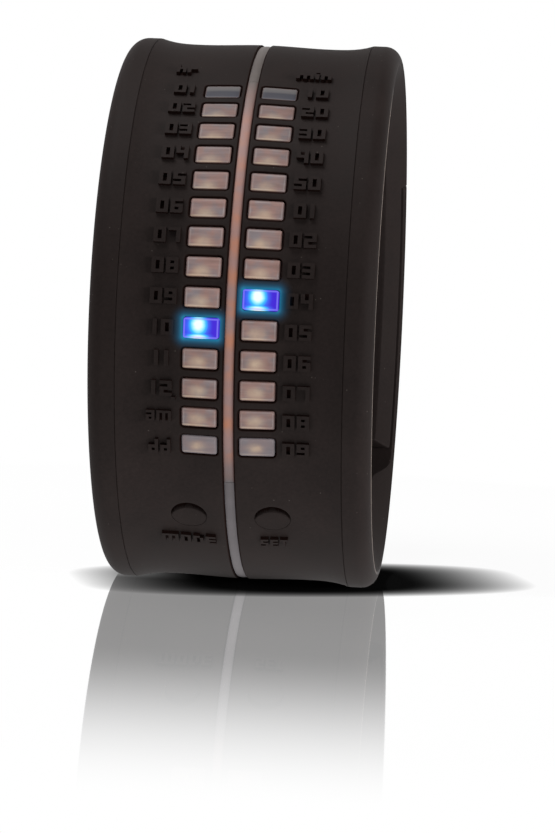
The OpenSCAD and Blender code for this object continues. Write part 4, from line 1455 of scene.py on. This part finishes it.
def bar_material():
    """The lit bar: amber patches beside each row of diodes, blush between, turning grey at both ends, with
    painted shade along its sides.
    """
    made, tree, shader = start_material("bar_plastic")
    calc = make_calc(tree)
    across, along = round_band(tree, calc)
    phase = calc("DIVIDE", calc("SUBTRACT", (FIRST_ROW - 1.8) * ARC_MM, along), ROW_STEP * ARC_MM)
    patch = calc("MULTIPLY_ADD", calc("COSINE", calc("MULTIPLY", phase, math.tau)), 0.5, 0.5)
    uneven = calc("MULTIPLY_ADD", streaks(tree, 330, (1, 1, 1)), 4.0, -1.5, clamp=True)
    below = calc("SUBTRACT", (FIRST_ROW - ROW_STEP) * ARC_MM, along)
    below = calc("DIVIDE", below, ROW_STEP * 2.5 * ARC_MM, clamp=True)
    amber = calc("MULTIPLY", calc("MULTIPLY", patch, uneven), below)
    blush = mix_colours(tree, uneven, (0.3, 0.19, 0.178), (0.34, 0.185, 0.155))
    colour = mix_colours(tree, amber, blush, (0.46, 0.185, 0.1))
    high = calc("DIVIDE", calc("SUBTRACT", along, (BAR_TO - 14) * ARC_MM), 14 * ARC_MM, clamp=True)
    low = calc("DIVIDE", calc("SUBTRACT", (BAR_FROM + 9) * ARC_MM, along), 9 * ARC_MM, clamp=True)
    colour = mix_colours(tree, high, colour, (0.132, 0.112, 0.104))
    colour = mix_colours(tree, low, colour, (0.13, 0.116, 0.121))
    weight = calc("MULTIPLY_ADD", lengthwise(tree, calc, BAR_FROM, 0), 0.32, 0.68)
    weight = calc("SUBTRACT", weight, calc("MULTIPLY", lengthwise(tree, calc, 0, 50), 0.15))
    colour = mix_colours(tree, weight, (0, 0, 0), colour)
    # Painted shade: dark red-brown along both sides of the bar.
    side = calc("DIVIDE", calc("SUBTRACT", calc("ABSOLUTE", across), LINE_HALF - 0.2), 0.2, clamp=True)
    colour = mix_colours(tree, calc("MULTIPLY", side, 0.75), colour, (0.08, 0.025, 0.02))
    tree.links.new(colour, shader.inputs["Base Color"])
    shader.inputs["Roughness"].default_value = 0.55
    shader.inputs["Specular IOR Level"].default_value = 0.25
    add_bump(tree, shader, streaks(tree, 2500, (1, 1, 1)), 0.3, 1e-5)
    return made


def dress_nodes():
    """Materials of the CAD nodes that stay as they are, by node."""
    steel = metal("screw_steel", (0.58, 0.58, 0.6), 0.3)
    brass = metal("contact_brass", (0.72, 0.5, 0.2), 0.32)
    chip = moulded("chip_resin", (0.02, 0.02, 0.023), 0.5, grain=5000.0, dust=0.0)
    led = moulded("led_resin", (0.75, 0.66, 0.3), 0.3, tone=0.3, grain=6000.0, dust=0.0)
    dressed = {
        "module_frame": moulded("frame_plastic", (0.022, 0.023, 0.026), 0.5, grain=3000.0, dust=0.0),
        "light_baffle": moulded("baffle_plastic", (0.75, 0.73, 0.69), 0.55, tone=0.08, dust=0.0),
        "circuit_board": moulded("board_film", (0.45, 0.2, 0.04), 0.35, tone=0.3, grain=1200.0, dust=0.0),
        "hour_leds": led,
        "minute_leds": led,
        "controller_chip": chip,
        "led_driver_chip": chip,
        "quartz_crystal": metal("crystal_can", (0.66, 0.67, 0.68), 0.25),
        "capacitors": moulded("capacitor_ceramic", (0.36, 0.25, 0.13), 0.5, dust=0.0),
        "resistors": moulded("resistor_film", (0.03, 0.03, 0.035), 0.45, dust=0.0),
        "switch_domes": metal("spring_steel", (0.6, 0.6, 0.6), 0.22),
        "coin_cells": metal("cell_steel", (0.62, 0.63, 0.64), 0.26, line=1500.0),
        "cell_leaf_contacts": brass,
        "cell_side_contacts": brass,
        "back_case": metal("case_aluminium", (0.5, 0.5, 0.52), 0.38, line=2200.0, tarnish=0.25),
        "back_gasket": moulded("gasket_rubber", (0.035, 0.035, 0.036), 0.6, dust=0.0),
        "back_case_screws": steel,
        "hatch_screws": steel,
        "screw_inserts": metal("insert_brass", (0.68, 0.46, 0.18), 0.35),
        "stud_washers": metal("stud_steel", (0.52, 0.53, 0.55), 0.3),
    }
    dressed["battery_hatch"] = dressed["back_case"]
    dressed["hatch_gasket"] = dressed["back_gasket"]
    for name, made in dressed.items():
        mesh = NODES[name].data
        mesh.materials.clear()
        mesh.materials.append(made)
    return dressed


def add_camera():
    """The photograph's camera: it looks back along its own direction at the ring's middle."""
    back = Vector((math.sin(TURN) * math.cos(RISE), -math.cos(TURN) * math.cos(RISE), math.sin(RISE)))
    right = (-back).cross(Vector((0, 0, 1))).normalized()
    up = right.cross(-back)
    tilted_right = math.cos(ROLL) * right + math.sin(ROLL) * up
    tilted_up = math.cos(ROLL) * up - math.sin(ROLL) * right
    focal_px = DISTANCE * RING_R_PX
    across = (RING_PX[0] - IMAGE_W / 2) / focal_px * DISTANCE
    down = -(RING_PX[1] - IMAGE_H / 2) / focal_px * DISTANCE
    place = back * DISTANCE - tilted_right * across - tilted_up * down
    data = bpy.data.cameras.new("view")
    data.sensor_width = SENSOR
    data.lens = focal_px / IMAGE_H * SENSOR
    data.clip_start = 0.01
    camera = show("view", data)
    turned = Matrix((tilted_right, tilted_up, back)).transposed().to_4x4()
    middle = Vector((0, 0, CENTRE_Z * MM))
    camera.matrix_world = Matrix.Translation(middle + place * RING_R * MM) @ turned
    bpy.context.scene.camera = camera


def add_lamp(name, place, size, power):
    """A lamp with a rectangular face turned to the ring's middle."""
    data = bpy.data.lights.new(name, "AREA")
    data.shape = "RECTANGLE"
    data.size, data.size_y = size
    data.energy = power
    aim = (Vector((0, 0, CENTRE_Z * MM)) - Vector(place)).to_track_quat("-Z", "Y")
    show(name, data).matrix_world = Matrix.Translation(Vector(place)) @ aim.to_matrix().to_4x4()


def add_world():
    """White for the camera, a soft light, and for reflections white low down and dimmer overhead."""
    world = bpy.data.worlds.new("studio")
    bpy.context.scene.world = world
    world.use_nodes = True
    tree = world.node_tree
    calc = make_calc(tree)
    paths = tree.nodes.new("ShaderNodeLightPath").outputs
    direction = parts_of(tree, tree.nodes.new("ShaderNodeTexCoord").outputs["Generated"])
    overhead = calc("MULTIPLY_ADD", fade(tree, *OVERHEAD_FROM, direction["Z"]), OVERHEAD - 1, 1)
    level = calc("MULTIPLY", overhead, paths["Is Glossy Ray"])
    for other in (paths["Is Camera Ray"], paths["Is Transmission Ray"], SOFT_LIGHT):
        level = calc("MAXIMUM", level, other)
    background = tree.nodes["Background"]
    background.inputs["Color"].default_value = (1, 1, 1, 1)
    tree.links.new(level, background.inputs["Strength"])


def matt(tree, level):
    """A matt grey shader of one level."""
    return add_node(tree, "ShaderNodeBsdfDiffuse", {"Color": (level, level, level, 1)}).outputs[0]


def beside_contact(tree, calc, place, seen):
    """0 in the painted contact shadow's dark core, rising to 1 at its rim, and 1 for rays not from the
    camera.
    """
    turned = add_node(tree, "ShaderNodeMapping", {}, vector_type="TEXTURE")
    for label, value in (
        ("Vector", place), ("Location", (*CONTACT_MIDDLE, 0)), ("Rotation", (0, 0, CONTACT_TURN)),
        ("Scale", (*CONTACT_HALF, 1)),
    ):
        set_or_link(tree, turned.inputs[label], value)
    flat = parts_of(tree, turned.outputs[0])
    along = calc("POWER", calc("ABSOLUTE", flat["X"]), 2)
    across = calc("POWER", calc("ABSOLUTE", flat["Y"]), 4)
    away = calc("SUBTRACT", calc("SQRT", calc("ADD", along, across)), CONTACT_CORE)
    bright = calc("POWER", calc("DIVIDE", away, 1 - CONTACT_CORE, clamp=True), CONTACT_FALL)
    return calc("MAXIMUM", bright, calc("SUBTRACT", 1, seen))


def table_material():
    """White, polished table: it keeps a faint shadow from the lamps and a painted contact shadow, and its
    low reflection fades towards the front.
    """
    made = bpy.data.materials.new("table")
    made.use_nodes = True
    tree = made.node_tree
    new = tree.nodes.new
    calc = make_calc(tree)
    tree.nodes.remove(tree.nodes["Principled BSDF"])
    place = object_place(tree)
    paths = new("ShaderNodeLightPath").outputs
    seen = paths["Is Camera Ray"]
    ahead = calc("MULTIPLY", parts_of(tree, place)["Y"], -1)
    share = calc("MULTIPLY", fade(tree, *MIRROR_STARTS, ahead), fade(tree, *MIRROR_ENDS, ahead))
    facing = new("ShaderNodeLayerWeight").outputs["Facing"]
    share = calc("MULTIPLY", share, fade(tree, *MIRROR_FACING, facing))
    length = add_node(tree, "ShaderNodeVectorMath", {0: place}, operation="LENGTH")
    distance = length.outputs["Value"]
    shown = calc("MULTIPLY", calc("MAXIMUM", fade(tree, *WHITE_FROM, distance), OPEN_FLOOR), seen)
    glow = calc("MULTIPLY", fade(tree, *GLOW_FROM, distance), calc("SUBTRACT", 1, seen))
    bounce = calc("MULTIPLY_ADD", fade(tree, *BOUNCE_FALL, distance), FAR_BOUNCE - BOUNCE, BOUNCE)
    bounced = calc("MULTIPLY_ADD", paths["Is Diffuse Ray"], calc("SUBTRACT", bounce, 1), 1)
    white = add_node(tree, "ShaderNodeEmission", {"Strength": bounced})
    base = mix_shaders(tree, calc("MAXIMUM", shown, glow), matt(tree, 0.9), white.outputs[0])
    gloss = add_node(tree, "ShaderNodeBsdfGlossy", {"Color": (1, 1, 1, 1), "Roughness": 0.03})
    polished = mix_shaders(tree, calc("MULTIPLY", share, MIRROR_SHARE), base, gloss.outputs[0])
    # Painted contact shadow: a near-black matt patch mixed over the table for the camera's rays.
    bright = beside_contact(tree, calc, place, seen)
    surface = mix_shaders(tree, bright, matt(tree, 0.01), polished)
    tree.links.new(surface, tree.nodes["Material Output"].inputs["Surface"])
    return made


def add_floor():
    """The table that the watch stands on."""
    mesh = bpy.data.meshes.new("table")
    corners = [(x * TABLE_HALF, y * TABLE_HALF, 0) for x, y in ((-1, -1), (1, -1), (1, 1), (-1, 1))]
    mesh.from_pydata(corners, [], [(0, 1, 2, 3)])
    mesh.materials.append(table_material())
    show("table", mesh)


# Rubber mouldings
RUBBER = rubber_material()
# Painted shade: a near-black rubber for the walls of the windows, button holes and figures, the groove, the
# figures' counters and the buttons' crescents
PAINTED_SHADE_RUBBER = add_spill(moulded("painted_shade_rubber", (0.0085, 0.0038, 0.003), 0.85, dust=0.0, specular=0.03))
# Painted highlight along the lip's outermost edge beside the dial
EDGE_HIGHLIGHT_RUBBER = edge_highlight_material()
RUBBERS = [RUBBER, PAINTED_SHADE_RUBBER, EDGE_HIGHLIGHT_RUBBER]
band = front_rubber(RUBBERS)
place_piece(band, "watch", "band_rubber", "front_band")
clasp = clasp_rubber(RUBBERS)
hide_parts("clasp_strap")
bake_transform(clasp)
tongue = tongue_rubber([RUBBER])
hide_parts("tongue_strap")
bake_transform(tongue)

# Translucent line
BAR_PLASTIC = bar_material()
LINE_RUBBER = line_material("line_rubber", (0.088, 0.079, 0.083), (0.112, 0.096, 0.089), 0.5)
bar = line_piece("lit_bar", BAR_FROM, BAR_TO, LENS_BOTTOM, BAR_PLASTIC)
place_piece(bar, "watch", "bar_plastic", "light_bar")
upper_line = line_piece("upper_line", BAR_TO + BAR_GAP, TONGUE_ROOT, LINE_BOTTOM, LINE_RUBBER)
place_piece(upper_line, "watch", "line_rubber", "band_line")
lower_line = line_piece("lower_line", BLEND_ANGLE - 360, BAR_FROM - BAR_GAP, LINE_BOTTOM, LINE_RUBBER)
place_piece(lower_line, "watch", "line_rubber")
strap_line = line_piece("strap_line", CLASP_TIP + 0.3, BLEND_ANGLE, LINE_BOTTOM, LINE_RUBBER)
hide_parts("clasp_line")
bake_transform(strap_line)

# Windows
FROSTED = frosted_material()
LIT = lit_material()
lug = lens_lug("lug")
rows, row_inputs = column_tree()
hour_column = window_column("hour_lenses", -1, LIT_HOUR_ROW, lug, rows, row_inputs, FROSTED, LIT)
minute_column = window_column("minute_lenses", 1, LIT_MINUTE_ROW, lug, rows, row_inputs, FROSTED, LIT)
bpy.data.objects.remove(lug)
place_piece(hour_column, "watch", "window_plastic", "hour_windows")
place_piece(minute_column, "watch", "window_plastic", "minute_windows")

# Raised figures
hours = [f"{number:02d}" for number in range(1, 13)]
minutes = ["10", "20", "30", "40", "50"] + [f"{number:02d}" for number in range(1, 10)]
hour_words = [(word, row_angle(i), -8.0) for i, word in enumerate(hours)]
hour_words += [("hr", 63.7, -8.3, 2.1, 0.8, 0.2), ("aM", -17.65, -8.25, 1.4, 0.72, 0.22)]
hour_words += [("dd", -24.45, -8.2, 1.95, 0.82), (".", -12.6, -6.5)]
minute_words = [(word, row_angle(i), 8.05) for i, word in enumerate(minutes)]
minute_words += [("min", 62.8, 7.3, 2.1, 0.88, 0.22)]
label_words = [("MODE", -50.5, -5.3, 1.75, 0.84, 0.3), ("SET", -50.6, 5.15, 1.7, 0.66, 0.22)]
for name, words in (
    ("hour_figures", hour_words), ("minute_figures", minute_words), ("button_labels", label_words),
):
    place_piece(raised_words(name, words, [RUBBER, PAINTED_SHADE_RUBBER]), "watch", "band_rubber")

# Buttons
for name, x, body in (("mode_button", -BUTTON_X, "mode_key"), ("set_button", BUTTON_X, "set_key")):
    place_piece(button_piece(name + "_cap", x, [RUBBER, PAINTED_SHADE_RUBBER]), body, "button_rubber", name)

# Closure and module
dressed = dress_nodes()
place_piece(rivet_heads([dressed["stud_washers"]]), "clasp", "stud_steel", "snap_studs")
EYELET_BRASS = metal("eyelet_brass", (0.7, 0.5, 0.22), 0.28)
place_piece(eyelet_rings([EYELET_BRASS]), "tongue", "eyelet_brass", "snap_eyelets")

# Stage
add_camera()
add_world()
add_floor()
add_lamp("over_left", (-0.16, -0.06, 0.45), (0.3, 0.3), 2.3)
add_lamp("front", (-0.02, -0.8, 0.08), (0.6, 0.15), 0.3)
add_lamp("right", (0.6, -0.25, 0.12), (0.3, 0.14), 3.3)
bpy.context.scene.view_settings.view_transform = "Standard"
